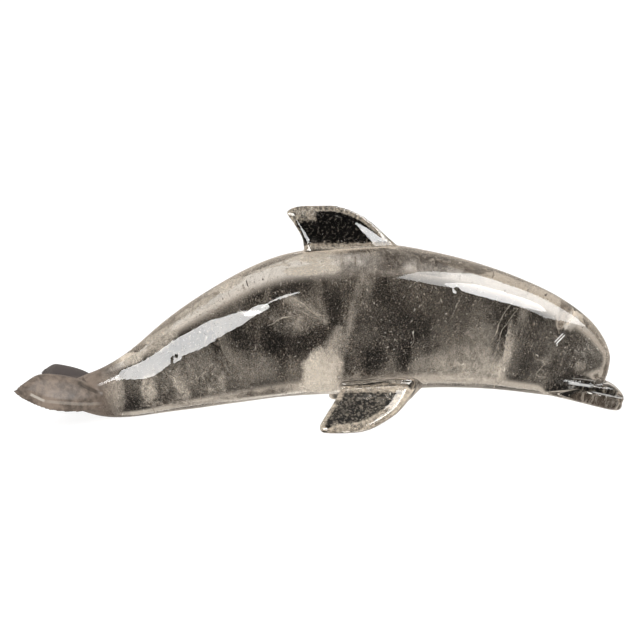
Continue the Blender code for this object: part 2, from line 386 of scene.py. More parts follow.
@dataclass(frozen=True)
class Fin:
    """A fin ground flat, swept back, growing out of the body along one straight root.

    A station is the distance out, the trailing edge and the leading edge, in
    hundredths of the length. Sizes are in metres. What heart, rim, foot and patch say is of
    the sheet in the fin's middle plane, which is painted shade in the heart and painted
    light round it: its heart begins so many bevels in from the edges, and its tones run
    from 0, dark, to 1, pale.
    """

    stations: tuple
    root: tuple[float, float]
    angle: float
    thickness: float
    tip_thickness: float
    leading: Edge
    trailing: Edge
    flare: float = 0.0030
    heart_edge: float = 1.0
    # Tones of the fin's sheet: its heart is painted shade, its rim painted light.
    heart_shade_tone: float = -0.06
    heart_foot: float = 0.0006
    heart_fade: Span = (0.9, 1.15)
    foot_fade: float = 0.0010
    rim_light_tone: float = 0.46
    patch: float = 0.0
    patch_fade: float = 0.0028
    patch_foot: Span = (-0.0100, -0.0078)
    patch_ripple: Swell = Swell(0.0007, (0.002, 0.006), 14, seed=7)
    root_fade: Span = (-0.0035, -0.0005)
    off_floor: float = 0.0008
    rows: int = 72
    spots: int = 64
    cells: int = 48
    cells_inset: float = 0.02

    def shell(self, share: float) -> Shell:
        """Loft the sections, which run along X and lie a distance out along the angle.

        Args:
            share: metres in a hundredth of the carving's length.

        Returns:
            The closed shell.
        """
        out, trailing, leading = (smooth_rows(self.stations, self.rows) * share).T[..., None]
        w = (1 - np.cos(np.linspace(0.0, math.pi, self.spots))) / 2
        x = leading + (trailing - leading) * w
        flat = np.stack((x, out + 0 * x), axis=-1)
        tip = np.stack(((leading + trailing)[-1:] / 2, out[-1:]), axis=-1)[0]
        front = np.concatenate((np.concatenate((leading, out), axis=1), tip))
        rear = np.concatenate((np.concatenate((trailing, out), axis=1), tip))
        root_y, root_z = self.root[0] * share, self.root[1] * share
        cosine, sine = math.cos(self.angle), math.sin(self.angle)
        lines = np.stack((x, root_y + out * cosine + 0 * x, root_z + out * sine + 0 * x), axis=-1)
        normals = np.broadcast_to(np.array((0.0, -sine, cosine)), lines.shape)
        taper = np.clip(out / out[-1], 0.0, 1.0)
        flare = self.flare * np.exp(-np.clip(out, 0.0, None) / self.flare)
        thickness = self.thickness + (self.tip_thickness - self.thickness) * taper + flare
        half = thickness / 2 + 0 * x
        front_lift = self.leading.height(distance_to_line(flat, front), half)
        rear_lift = self.trailing.height(distance_to_line(flat, rear), half)
        return plate(lines, normals, np.minimum(front_lift, rear_lift))

    def sheet(self, share: float) -> tuple[Array, Array, Array]:
        """A thin closed sheet along the fin's middle plane, painted shade in its heart and painted
        light round it.

        Args:
            share: metres in a hundredth of the carving's length.

        Returns:
            Points, quads and two shares for each point. The first is one in the heart,
            where both edges are more than so many bevels away, save for a rough patch
            about the rearmost point, which ends above its foot. The second is one out in
            the fin and falls to nothing at its root.
        """
        stations = smooth_rows(self.stations, self.cells + 3)[:-2] * share
        out, trailing, leading = stations.T[..., None]
        across = np.linspace(self.cells_inset, 1 - self.cells_inset, self.cells + 1)
        x = leading + (trailing - leading) * across
        flat = np.stack((x, out + 0 * x), axis=-1)
        end = flat[-1, self.cells // 2][None]
        inset = []
        for edge, column in ((self.leading, leading), (self.trailing, trailing)):
            line = np.concatenate((np.concatenate((column, out), axis=1), end))
            inset.append(distance_to_line(flat, line) / (edge.rim + edge.bevel) / self.heart_edge)
        foot = ease(out, self.heart_foot, self.heart_foot + self.foot_fade)
        heart = ease(np.minimum(*inset), *self.heart_fade) * foot
        rearmost = flat.reshape(-1, 2)[np.argmin(flat[..., 0])]
        past = np.linalg.norm(flat - rearmost, axis=2)
        ripple = self.patch_ripple.at(flat.reshape(-1, 2) @ np.eye(2, 3))
        off_patch = ease(past + ripple.reshape(past.shape), self.patch, self.patch + self.patch_fade)
        heart = heart * np.maximum(off_patch, ease(-out, *self.patch_foot))
        away = ease(out, *self.root_fade) + 0 * x
        shares = np.stack((heart.ravel(), away.ravel()), axis=-1)
        cosine, sine = math.cos(self.angle), math.sin(self.angle)
        y = self.root[0] * share + out * cosine
        z = np.maximum(self.root[1] * share + out * sine, self.off_floor)
        sheet = np.stack((x, y + 0 * x, z + 0 * x), axis=-1).reshape(-1, 3)
        return closed_sheet(sheet, np.array((0.0, -sine, cosine)), shares, self.cells)


@dataclass(frozen=True)
class Fluke:
    """Half of the tail fin: a thick petal about a crest that runs out to its tip.

    A station is the leading edge, the crest and the rear edge, each as x, y and z of
    the middle surface, in hundredths of the length. Sizes are in metres.
    """

    stations: tuple
    side: int
    twist: float
    thickness: float
    tip_thickness: float
    edge: Edge
    rows: int = 64
    spots: int = 64

    def shell(self, share: float) -> Shell:
        """Loft the sections, each the parabola through its two edges and its crest.

        Args:
            share: metres in a hundredth of the carving's length.

        Returns:
            The closed shell.
        """
        rows = (smooth_rows(self.stations, self.rows) * share).reshape(self.rows, 3, 3)
        rows[..., 2] -= self.side * rows[..., 1] * math.tan(self.twist)
        rows[..., 1] *= self.side
        front, crest, rear = rows[:, None, 0], rows[:, None, 1], rows[:, None, 2]
        w = ((1 - np.cos(np.linspace(0.0, math.pi, self.spots))) / 2)[:, None]
        lines = front * (1 - w) * (1 - 2 * w) + crest * 4 * w * (1 - w) + rear * w * (2 * w - 1)
        normals = np.cross(np.gradient(lines, axis=1), np.gradient(lines, axis=0))
        normals /= np.linalg.norm(normals, axis=2, keepdims=True)
        steps = np.linalg.norm(np.diff(lines, axis=1), axis=2)
        run = np.concatenate((np.zeros((self.rows, 1)), np.cumsum(steps, axis=1)), axis=1)
        to_tip = np.linalg.norm(lines[-1, self.spots // 2] - lines, axis=2)
        distance = np.minimum(np.minimum(run, run[:, -1:] - run), to_tip)
        along = np.linspace(0.0, 1.0, self.rows)[:, None]
        thickness = self.thickness + (self.tip_thickness - self.thickness) * along
        half = thickness / 2 + 0 * run
        return plate(lines, normals, self.edge.height(distance, half))


@dataclass(frozen=True)
class Cut:
    """A groove on both sides of the head, a bell across and fading at its first end.

    The line's corners and the width are in hundredths of the length, in side view.
    """

    line: tuple
    width: float
    depth: float

    def depth_at(self, side: Array) -> Array:
        """Depth of the groove, a bell of the distance from its line.

        Args:
            side: points (..., 2) of the side view.

        Returns:
            Metres at each point.
        """
        line = np.array(self.line)
        start = line[0, 0]
        start_fade = ease(side[..., 0], start - self.width, start + 2 * self.width)
        return self.depth * np.exp(-((distance_to_line(side, line) / self.width) ** 2)) * start_fade


@dataclass
class Skin:
    """The carving's whole surface, grown from its lofts and polished.

    Voxel, heights and depths are in metres. Places, radii and the spans over which a cut
    fades are in hundredths of the length.
    """

    share: float
    voxel: float = 0.00062
    polish_rounds: int = 14
    polish_steps: Span = (0.5, -0.52)
    hand_swell: Swell = Swell(0.00018, (0.016, 0.050), 28, seed=3)
    sole_fade: Span = (0.4, 2.0)
    middle_fade: Span = (0.3, 1.2)
    cuts: tuple[Cut, ...] = (
        Cut(((42.6, 4.5), *MOUTH_LINE), 0.20, 0.00035),
        Cut(EYE_SLIT, 0.34, 0.0006),
    )
    ledge: tuple = ((36.0, 7.1), (39.4, 6.65), (42.5, 6.15), (45.4, 5.65), (48.0, 5.1))
    ledge_depth: float = 0.0016
    ledge_slope: float = 0.8
    ledge_top: Span = (-4.0, -0.2)
    ledge_rise: float = 4.5
    ledge_front: Span = (-47.6, -45.6)
    eye_radius: float = 1.3
    eye_depth: float = 0.0006
    pits: tuple = ((-25.4, 11.9), (-23.5, 11.3), (-24.2, 10.9), (22.4, 22.0))
    pit_radius: float = 0.28
    pit_depth: float = 0.00022
    body: Trunk = Trunk(
        (
            (-44.3, 4.4, 3.1, 0.5),
            (-42.9, 5.6, 2.1, 2.0),
            (-41.0, 6.8, 1.2, 2.9),
            (-38.1, 8.1, 0.25, 3.4),
            (-34.3, 10.2, -0.12, 3.6),
            (-28.6, 14.35, 0.45, 4.7),
            (-21.9, 19.4, 1.4, 6.5),
            (-14.3, 23.95, 2.45, 8.4),
            (-6.7, 26.95, 3.45, 9.7),
            (1.9, 28.3, 3.85, 10.3),
            (11.4, 28.5, 4.45, 9.8),
            (21.4, 26.7, 4.75, 8.6),
            (29.5, 24.2, 4.25, 7.3),
            (36.2, 21.4, 3.3, 6.1),
            (41.4, 18.3, 2.75, 5.0),
            (44.8, 15.3, 3.6, 3.9),
            (46.9, 12.2, 5.6, 2.5),
            (47.75, 9.7, 9.0, 0.35),
        ),
        squareness=2.2,
        rows=240,
        sides=160,
    )
    upper_jaw: Trunk = Trunk(
        (
            (36.0, 8.6, 5.4, 3.3),
            (42.0, 7.3, 4.3, 3.5),
            (46.2, 5.8, 3.4, 2.75),
            (48.4, 4.55, 2.55, 2.1),
            (49.65, 3.2, 2.05, 1.2),
            (50.0, 2.5, 2.15, 0.3),
        ),
        squareness=2.4,
        rows=60,
        sides=80,
    )
    lower_jaw: Trunk = Trunk(
        (
            (36.0, 5.7, 3.6, 2.9),
            (42.0, 5.8, 2.05, 3.3),
            (46.0, 4.9, 1.05, 2.7),
            (48.2, 3.7, 0.5, 2.0),
            (49.3, 2.5, 0.55, 1.2),
            (49.7, 1.6, 1.0, 0.3),
        ),
        squareness=2.4,
        rows=60,
        sides=80,
    )

    def fins(self) -> list[Fin]:
        """Describe the fins above the flukes.

        Returns:
            The dorsal fin, then the left and the right pectoral fin drooping to the ground.
        """
        dorsal = Fin(
            (
                (-2.0, -2.0, 14.8),
                (-0.4, -2.6, 13.1),
                (1.2, -2.85, 11.3),
                (2.9, -3.75, 9.65),
                (4.4, -4.75, 7.95),
                (5.5, -5.45, 6.1),
                (6.2, -5.0, 4.3),
                (6.75, -2.4, 1.6),
            ),
            root=(0.0, 28.6),
            angle=math.radians(90),
            thickness=0.0052,
            tip_thickness=0.0034,
            leading=Edge(rim=0.0016, bevel=0.0032, angle=math.radians(28)),
            trailing=Edge(rim=0.0010, bevel=0.0012),
            heart_edge=0.42,
            # Painted shade in the dorsal fin's heart.
            heart_shade_tone=-0.16,
            heart_foot=0.0002,
            patch=0.0085,
        )
        stations = (
            (-2.4, 3.8, 16.9),
            (0.0, 3.3, 15.2),
            (1.9, 2.6, 14.2),
            (3.6, 1.85, 13.3),
            (5.3, 1.05, 12.0),
            (6.6, 0.5, 10.5),
            (7.9, 0.15, 8.7),
            (8.7, 0.6, 6.9),
            (9.15, 1.5, 5.1),
            (9.3, 2.6, 3.8),
        )
        leading = Edge(rim=0.0010, bevel=0.0030, angle=math.radians(13))
        trailing = Edge(rim=0.0008, bevel=0.0010)
        # The pectoral fins' heart tone is painted shade, their rim tone painted light.
        sizes = {"thickness": 0.0060, "tip_thickness": 0.0036, "heart_shade_tone": 0.02, "rim_light_tone": 0.64}
        sizes.update(leading=leading, trailing=trailing)
        left = Fin(stations, root=(6.3, 5.2), angle=math.radians(-35), **sizes)
        right = Fin(stations, root=(-6.3, 5.2), angle=math.radians(215), **sizes)
        return [dorsal, left, right]

    def flukes(self) -> list[Fluke]:
        """Describe the tail fin.

        Returns:
            Its left and right halves, the right one carried a little higher.
        """
        stations = (
            (-33.6, 0.5, 3.2, -38.1, 0.5, 3.8, -44.3, 0.15, 3.3),
            (-35.8, 2.5, 2.3, -39.3, 1.7, 4.5, -45.2, 1.0, 3.6),
            (-37.8, 5.0, 1.95, -40.7, 3.3, 5.7, -45.8, 2.1, 4.2),
            (-40.0, 7.1, 1.9, -42.3, 4.8, 6.4, -46.6, 3.6, 5.0),
            (-42.4, 8.6, 2.15, -44.3, 6.1, 6.75, -47.3, 5.2, 5.8),
            (-44.9, 9.7, 2.8, -46.1, 7.6, 6.85, -48.0, 7.1, 6.3),
            (-47.2, 10.6, 3.95, -47.7, 9.2, 6.7, -48.7, 8.9, 6.5),
            (-49.1, 11.1, 5.15, -49.1, 10.6, 6.3, -49.5, 10.5, 6.3),
            (-49.9, 11.3, 5.85, -49.9, 11.2, 6.05, -49.95, 11.1, 6.05),
        )
        sizes = {"thickness": 0.0056, "tip_thickness": 0.0032, "edge": Edge(rim=0.0012, bevel=0.0022)}
        return [Fluke(stations, side, math.radians(3.5), **sizes) for side in (1, -1)]

    def rough_form(self) -> bpy.types.Object:
        """Grow all lofts together.

        Returns:
            One closed skin of even small faces.
        """
        parts = [self.body, self.upper_jaw, self.lower_jaw, *self.fins(), *self.flukes()]
        piece = Shell.joined([part.shell(self.share) for part in parts]).add_to_scene(NODE + "_skin")
        remesh = piece.modifiers.new("grow_together", "REMESH")
        remesh.mode = "VOXEL"
        remesh.voxel_size = self.voxel
        graph = bpy.context.evaluated_depsgraph_get()
        grown = bpy.data.meshes.new_from_object(piece.evaluated_get(graph))
        piece.modifiers.clear()
        piece.data = grown
        return piece

    def polished(self, points: Array, edges: Array) -> Array:
        """Smooth the points without shrinking them.

        Each round moves every point towards the mean of its neighbours by one share of
        the way, then away by a slightly larger share, which keeps the volume.

        Args:
            points: places (count, 3).
            edges: pairs of neighbours, by number.

        Returns:
            The points' new places.
        """
        count = np.bincount(edges.ravel(), minlength=len(points))[:, None]
        ends, others = edges.T.ravel(), edges[:, ::-1].T.ravel()
        for _ in range(self.polish_rounds):
            for step in self.polish_steps:
                sums = [np.bincount(ends, points[others, axis], len(points)) for axis in range(3)]
                points = points + step * (np.stack(sums, axis=-1) / count - points)
        return points

    def relief(self, points: Array) -> Array:
        """How far each point moves outwards.

        The swell of a hand held to the wheel, the cuts of mouth and eyes, a round hollow
        about each eye, the ledge along the beak's root and a few pits on the right side.
        The swell fades towards the sole, and all that is cut towards the middle plane.

        Args:
            points: places in metres (count, 3).

        Returns:
            Metres for each point.
        """
        x, y, z = points.T / self.share
        swell = self.hand_swell.at(points)
        side = np.stack((x, z), axis=-1)
        off_eye = np.linalg.norm(side - np.mean(EYE_SLIT, axis=0), axis=1) / self.eye_radius
        hollow = self.eye_depth * np.exp(-(off_eye**4))
        carved = sum(cut.depth_at(side) for cut in self.cuts)
        ledge_x, ledge_z = np.array(self.ledge).T
        above = z - np.interp(x, ledge_x, ledge_z)
        step = ease(above, -self.ledge_slope, 0.0) * ease(-above, *self.ledge_top)
        reach = ease(x, ledge_x[0], ledge_x[0] + self.ledge_rise) * ease(-x, *self.ledge_front)
        ledge = self.ledge_depth * step * reach
        off_pits = np.linalg.norm(side[:, None] - np.array(self.pits), axis=2) / self.pit_radius
        pitted = self.pit_depth * np.exp(-(off_pits**2)).sum(axis=1) * (y < 0)
        carved = hollow + carved + ledge + pitted
        return swell * ease(z, *self.sole_fade) - carved * ease(np.abs(y), *self.middle_fade)

    def make(self, low: Vector, high: Vector) -> bpy.types.Object:
        """Build the finished skin.

        Args:
            low: lowest corner of the box that it stays in.
            high: highest corner.

        Returns:
            The skin's object.
        """
        piece = self.rough_form()
        mesh = piece.data
        points = read_numbers(mesh.vertices, "co", 3, np.float32).astype(float)
        edges = read_numbers(mesh.edges, "vertices", 2, np.int32)
        points = self.polished(points, edges)
        mesh.vertices.foreach_set("co", points.astype(np.float32).ravel())
        mesh.update()
        normals = read_numbers(mesh.vertices, "normal", 3, np.float32)
        points = np.clip(points + normals * self.relief(points)[:, None], low, high)
        mesh.vertices.foreach_set("co", points.astype(np.float32).ravel())
        mesh.shade_smooth()
        mesh.update()
        LOG.info("skin: %d vertices, %d faces", len(mesh.vertices), len(mesh.polygons))
        return piece


@dataclass(frozen=True)
class Noise:
    """Cloudy noise about one half, with so many cells in a metre."""

    cells: float
    detail: float
    roughness: float


class Wire:
    """A shader socket whose operators add Math nodes, so that sums read as sums."""

    def __init__(self, graph: Graph, socket: bpy.types.NodeSocket) -> None:
        """Remember the graph that new nodes go into."""
        self.graph = graph
        self.socket = socket

    def math(self, operation: str, *values: Wire | float) -> Wire:
        """Add a Math node over the given values."""
        return self.graph.node("ShaderNodeMath", {"operation": operation}, dict(enumerate(values)))

    def __add__(self, other: Wire | float) -> Wire:
        """Sum."""
        return self.math("ADD", self, other)

    def __sub__(self, other: Wire | float) -> Wire:
        """Difference."""
        return self.math("SUBTRACT", self, other)

    def __mul__(self, other: Wire | float) -> Wire:
        """Product."""
        return self.math("MULTIPLY", self, other)

    def __rmul__(self, other: float) -> Wire:
        """Product with a number on the left."""
        return self.math("MULTIPLY", other, self)

    def absolute(self) -> Wire:
        """Size without its sign."""
        return self.math("ABSOLUTE", self)


class Graph:
    """A material's or the world's nodes, made by one method."""

    def __init__(self, owner: bpy.types.Material | bpy.types.World) -> None:
        """Start with an empty tree.

        Args:
            owner: what the nodes belong to.
        """
        owner.use_nodes = True
        self.tree = owner.node_tree
        self.tree.nodes.clear()
        in_world = isinstance(owner, bpy.types.World)
        self.output_kind = "ShaderNodeOutputWorld" if in_world else "ShaderNodeOutputMaterial"

    def node(self, kind: str, settings: dict | None = None, inputs: dict | None = None) -> Wire:
        """Add a node.

        Args:
            kind: the node's type.
            settings: its properties, set first.
            inputs: values or wires, by the socket's name or place.

        Returns:
            Its first enabled output, if it has one.
        """
        made = self.tree.nodes.new(kind)
        for name, value in (settings or {}).items():
            setattr(made, name, value)
        for place, value in (inputs or {}).items():
            if isinstance(value, Wire):
                self.tree.links.new(value.socket, made.inputs[place])
            else:
                made.inputs[place].default_value = value
        outputs = [socket for socket in made.outputs if socket.enabled]
        return Wire(self, outputs[0] if outputs else None)

    def principled(self, inputs: dict) -> Wire:
        """Add a Principled shader with these values or wires on its sockets."""
        return self.node("ShaderNodeBsdfPrincipled", inputs=inputs)

    def blend(self, share: Wire, first: Wire, second: Wire) -> Wire:
        """Blend two shaders."""
        return self.node("ShaderNodeMixShader", inputs={0: share, 1: first, 2: second})

    def to_output(self, **shaders: Wire) -> None:
        """Wire shaders to the output's sockets of the same names."""
        self.node(self.output_kind, inputs=shaders)

    def output_of(self, wire: Wire, name: str) -> Wire:
        """Another output of the node that a wire comes from."""
        return Wire(self, wire.socket.node.outputs[name])

    @cached_property
    def place(self) -> Wire:
        """The point in the carving's own frame."""
        return self.output_of(self.node("ShaderNodeTexCoord"), "Object")

    def noise(self, place: Wire, kind: Noise) -> Wire:
        """The value of a noise at a place."""
        inputs = {"Vector": place, "Scale": kind.cells, "Detail": kind.detail, "Roughness": kind.roughness}
        return self.node("ShaderNodeTexNoise", {"noise_dimensions": "3D"}, inputs)

    def ease(self, value: Wire, low: float, high: float, start: float = 0.0, end: float = 1.0) -> Wire:
        """Carry a value from start to end with a smooth S between low and high."""
        inputs = {"Value": value, "From Min": low, "From Max": high, "To Min": start, "To Max": end}
        return self.node("ShaderNodeMapRange", {"interpolation_type": "SMOOTHSTEP"}, inputs)

    def mix(self, share: Wire, first: Wire | tuple, second: Wire | tuple) -> Wire:
        """Blend two colours."""
        inputs = {0: share, 6: first, 7: second}
        return self.node("ShaderNodeMix", {"data_type": "RGBA"}, inputs)

    def attribute(self, name: str) -> Wire:
        """A number that the mesh holds for each point."""
        return self.output_of(self.node("ShaderNodeAttribute", {"attribute_name": name}), "Fac")

    def axis(self, place: Wire, name: str) -> Wire:
        """One coordinate of a point."""
        return self.output_of(self.node("ShaderNodeSeparateXYZ", inputs={0: place}), name)


def paint(red: float, green: float, blue: float) -> Colour:
    """A colour given in screen values, as linear light.

    Args:
        red: from 0 to 255.
        green: from 0 to 255.
        blue: from 0 to 255.

    Returns:
        The colour, with full cover.
    """
    full, knee, toe, lift, gamma = 255, 0.04045, 12.92, 0.055, 2.4
    screen = np.array((red, green, blue)) / full
    linear = np.where(screen <= knee, screen / toe, ((screen + lift) / (1 + lift)) ** gamma)
    return (*linear.tolist(), 1.0)


@dataclass(frozen=True)
class Mark:
    """A straight mark over the side view, or two parallel ones.

    Its ends are in hundredths of the length, its width and how far apart the two lie in
    metres.
    """

    ends: tuple
    width: float
    cover: float = 1.0
    apart: float = 0.0


@dataclass(frozen=True)
class CrystalFinish:
    """Polished clear quartz with a smoky cast, satin towards the flukes.

    Pale matt frost marks the right eye's slit and the mouth. At the eye it also stands
    for the slit's highlights, painted highlight, and along the beak's shelf it is a
    painted reflection.

    Share is the metres in a hundredth of the carving's length. Places are in metres.
    """

    share: float
    clear: Colour = (0.97, 0.965, 0.955, 1.0)
    clear_roughness: float = 0.02
    refraction: float = 1.544
    smoke: Colour = (0.60, 0.55, 0.50, 1.0)
    smoke_density: float = 14.0
    shadow_tint: Colour = (0.86, 0.85, 0.84, 1.0)
    satin_dark: Colour = paint(92, 82, 74)
    satin_pale: Colour = paint(140, 125, 112)
    # The next colour is painted shade for the crease at the fluke's root.
    satin_painted_shade: Colour = paint(46, 40, 35)
    # The next colour is a painted highlight along the fluke's ridge.
    satin_painted_highlight: Colour = paint(214, 206, 194)
    # The next colour is painted shade over the left fluke, which is made darker.
    satin_left_shade: Colour = paint(80, 73, 71)
    satin_roughness: Span = (0.42, 0.60)
    satin_shine: float = 0.14
    satin_cover: float = 0.92
    satin_start: Span = (0.0560, 0.0700)
    satin_fray: Span = (0.010, 0.012)
    # Where the left fluke's painted shade begins, across Y.
    left_shade_start: Span = (0.0, 0.005)
    broad: Noise = Noise(90.0, 3.0, 0.5)
    fine: Noise = Noise(420.0, 5.0, 0.65)
    fine_share: float = 0.6
    tone_edge: Span = (0.38, 0.62)
    grain_edge: Span = (0.3, 0.7)
    # Where the crease's painted shade and the ridge's painted highlight lie, in side view.
    painted_shade_crease: Mark = Mark(((-40.6, 7.0), (-37.4, 4.9)), 0.0005, cover=0.6)
    # The painted highlight runs along the ridge and fades on to its end.
    painted_highlight_ridge: Mark = Mark(((-47.4, 6.2), (-45.2, 4.8)), 0.0006, cover=0.6)
    painted_highlight_ridge_end: Mark = Mark(((-45.2, 4.8), (-36.8, 3.1)), 0.0007, cover=0.21)
    # Pale matt colour of the frost. At the eye and along the shelf it is painted highlight.
    frost_and_highlight: Colour = (0.80, 0.79, 0.77, 1.0)
    frost_and_highlight_roughness: float = 0.5
    eye: Mark = Mark(EYE_SLIT, 0.00022, apart=0.00085)
    eye_side: Span = (-0.001, 0.0)
    mouth: Mark = Mark(MOUTH_LINE, 0.00022, cover=0.60)
    # A painted reflection along the beak's shelf.
    shelf_reflection: Mark = Mark(((40.6, 6.0), (44.6, 5.1)), 0.0006, cover=0.60)
    wander: float = 0.0004
    wander_noise: Noise = Noise(1400.0, 3.0, 0.6)
    mark_fade: Span = (0.75, 1.1)

    def frost_and_highlight_share(self, graph: Graph) -> Wire:
        """Pale matt marks: frost on the right eye's edges, which also stands for the slit's
        highlights, painted highlight; a line along the mouth; and a painted reflection along
        its shelf.

        Args:
            graph: the material's nodes.

        Returns:
            The share of frost.
        """
        eye_side = graph.ease(graph.axis(graph.place, "Y"), *self.eye_side, 1.0, 0.0)
        eye = self.mark_share(graph, self.eye) * eye_side
        return eye + self.mark_share(graph, self.mouth) + self.mark_share(graph, self.shelf_reflection)

    def mark_share(self, graph: Graph, mark: Mark) -> Wire:
        """How far a mark covers the skin.

        The distance across the line is folded about its middle, so that one band half
        the distance apart makes both lines. A second band ends them.

        Args:
            graph: the material's nodes.
            mark: the mark.

        Returns:
            Its cover on the line, falling to nothing beside it.
        """
        x, z = graph.axis(graph.place, "X"), graph.axis(graph.place, "Z")
        low, high = (Vector(end) * self.share for end in mark.ends)
        middle, run = (low + high) / 2, (high - low).normalized()
        along = (x - middle.x) * run.x + (z - middle.y) * run.y
        across = (x - middle.x) * -run.y + (z - middle.y) * run.x
        wander = graph.noise(graph.place, self.wander_noise) - 0.5
        off_line = (across.absolute() - mark.apart / 2 + self.wander * wander).absolute()
        start, end = (share * (high - low).length / 2 for share in self.mark_fade)
        line = graph.ease(off_line, mark.width / 2, mark.width, mark.cover, 0.0)
        return line * graph.ease(along.absolute(), start, end, 1.0, 0.0)

    def satin(self, graph: Graph, broad: Wire, grain: Wire) -> Wire:
        """The flukes' matt surface, with a crease of painted shade and a ridge of painted
        highlight placed from the right fluke's side view, and painted shade over the left fluke.

        Args:
            graph: the material's nodes.
            broad: slow noise.
            grain: fine noise.

        Returns:
            The shader.
        """
        uneven = grain * self.fine_share + broad * (1 - self.fine_share)
        tone = graph.mix(graph.ease(uneven, *self.tone_edge), self.satin_dark, self.satin_pale)
        # Painted shade along the crease at the fluke's root.
        tone = graph.mix(self.mark_share(graph, self.painted_shade_crease), tone, self.satin_painted_shade)
        # A painted highlight along the ridge and on to its end.
        painted_highlight_ridge = self.mark_share(graph, self.painted_highlight_ridge) + self.mark_share(graph, self.painted_highlight_ridge_end)
        tone = graph.mix(painted_highlight_ridge, tone, self.satin_painted_highlight)
        # The left fluke is painted darker: painted shade.
        left_fluke_shade = graph.ease(graph.axis(graph.place, "Y"), *self.left_shade_start)
        return graph.principled(
            {
                "Base Color": graph.mix(left_fluke_shade, tone, self.satin_left_shade),
                "Roughness": graph.ease(grain, *self.grain_edge, *self.satin_roughness),
                "Specular IOR Level": self.satin_shine,
            }
        )

    def material(self) -> bpy.types.Material:
        """Build the material.

        Returns:
            See-through stone with satin, frost and painted highlights over it, clearer still to
            shadow rays.
        """
        made = bpy.data.materials.new("polished_rock_crystal")
        graph = Graph(made)
        crystal = graph.principled(
            {
                "Base Color": self.clear,
                "Roughness": self.clear_roughness,
                "IOR": self.refraction,
                "Transmission Weight": 1.0,
            }
        )
        grain = graph.noise(graph.place, self.fine)
        broad = graph.noise(graph.place, self.broad)
        x = graph.axis(graph.place, "X")
        off_tips = x + self.satin_fray[0] * broad + self.satin_fray[1] * grain
        satin_share = graph.ease(-1.0 * off_tips, *self.satin_start, 0.0, self.satin_cover)
        stone = graph.blend(satin_share, crystal, self.satin(graph, broad, grain))
        # Frost at the eye and mouth, painted highlight at the eye and painted reflection on the shelf.
        frost_and_highlight = graph.principled({"Base Color": self.frost_and_highlight, "Roughness": self.frost_and_highlight_roughness})
        stone = graph.blend(self.frost_and_highlight_share(graph), stone, frost_and_highlight)
        let_through = graph.node("ShaderNodeBsdfTransparent", inputs={"Color": self.shadow_tint})
        shadow_ray = graph.output_of(graph.node("ShaderNodeLightPath"), "Is Shadow Ray")
        smoke = {"Color": self.smoke, "Density": self.smoke_density}
        graph.to_output(
            Surface=graph.blend(shadow_ray, stone, let_through),
            Volume=graph.node("ShaderNodeVolumeAbsorption", inputs=smoke),
        )
        return made


@dataclass(frozen=True)
class FleckFinish:
    """A scatter of tiny broken faces in the stone, paler and darker by patches."""

    name: str
    pale: Colour
    dark: Colour
    patches: Noise = Noise(260.0, 4.0, 0.6)
    grain: Noise = Noise(2600.0, 2.0, 0.5)
    tone_edge: Span = (0.38, 0.62)
    roughness: float = 0.6

    def material(self) -> bpy.types.Material:
        """Build the material.

        Returns:
            A matt surface between the dark and the pale colour.
        """
        made = bpy.data.materials.new(self.name)
        graph = Graph(made)
        patches, grain = graph.noise(graph.place, self.patches), graph.noise(graph.place, self.grain)
        tone = graph.ease(0.5 * patches + 0.5 * grain, *self.tone_edge)
        colour = graph.mix(tone, self.dark, self.pale)
        graph.to_output(Surface=graph.principled({"Base Color": colour, "Roughness": self.roughness}))
        return made


@dataclass(frozen=True)
class VeilFinish:
    """A healed crack: a lace of tiny bubbles that thins out towards its rim.

    The piece's attributes say how dense it may be (cover), how far it is a smooth haze
    (haze) and how pale it is (tone). Lace and haze are drawn out along a leaning axis.
    """

    name: str
    pale: Colour
    dark: Colour
    clump: Noise = Noise(170.0, 9.0, 0.66)
    clump_contrast: float = 2.2
    clump_cover: float = 0.75
    lace_edge: Span = (0.22, 0.80)
    haze_noise: Noise = Noise(110.0, 4.0, 0.55)
    haze_edge: Span = (0.32, 0.68)
    haze_least: float = 0.30
    speckle: float = 0.45
    speckle_noise: Noise = Noise(1500.0, 3.0, 0.6)
    speckle_edge: Span = (0.38, 0.66)
    grain: Noise = Noise(700.0, 5.0, 0.70)
    grain_edge: Span = (0.36, 0.64)
    grain_tone: float = 0.6
    lean: float = math.radians(-20)
    stretch: tuple[float, float, float] = (1.1, 1.0, 0.85)
    roughness: float = 0.7

    def material(self) -> bpy.types.Material:
        """Build the material.

        Returns:
            A matt surface, see-through where neither lace nor haze covers it.
        """
        made = bpy.data.materials.new(self.name)
        graph = Graph(made)
        turned = {"Vector": graph.place, "Rotation": (0.0, self.lean, 0.0), "Scale": self.stretch}
        drawn_out = graph.node("ShaderNodeMapping", inputs=turned)
        cover, haze = graph.attribute("cover"), graph.attribute("haze")
        clouds = (graph.noise(drawn_out, self.clump) - 0.5) * self.clump_contrast
        lace = graph.ease(clouds + self.clump_cover * cover, *self.lace_edge)
        smooth = graph.noise(drawn_out, self.haze_noise)
        smooth = graph.ease(smooth, *self.haze_edge, self.haze_least, 1.0)
        speckle = graph.noise(graph.place, self.speckle_noise)
        broken = lace * graph.ease(speckle, *self.speckle_edge, self.speckle, 1.0)
        grain = graph.ease(graph.noise(graph.place, self.grain), *self.grain_edge)
        tone = graph.attribute("tone") - self.grain_tone / 2 + self.grain_tone * grain
        surface = graph.principled(
            {
                "Base Color": graph.mix(tone, self.dark, self.pale),
                "Roughness": self.roughness,
                "Specular IOR Level": 0.0,
                "Alpha": (broken + haze * (smooth - broken)) * cover,
            }
        )
        graph.to_output(Surface=surface)
        return made


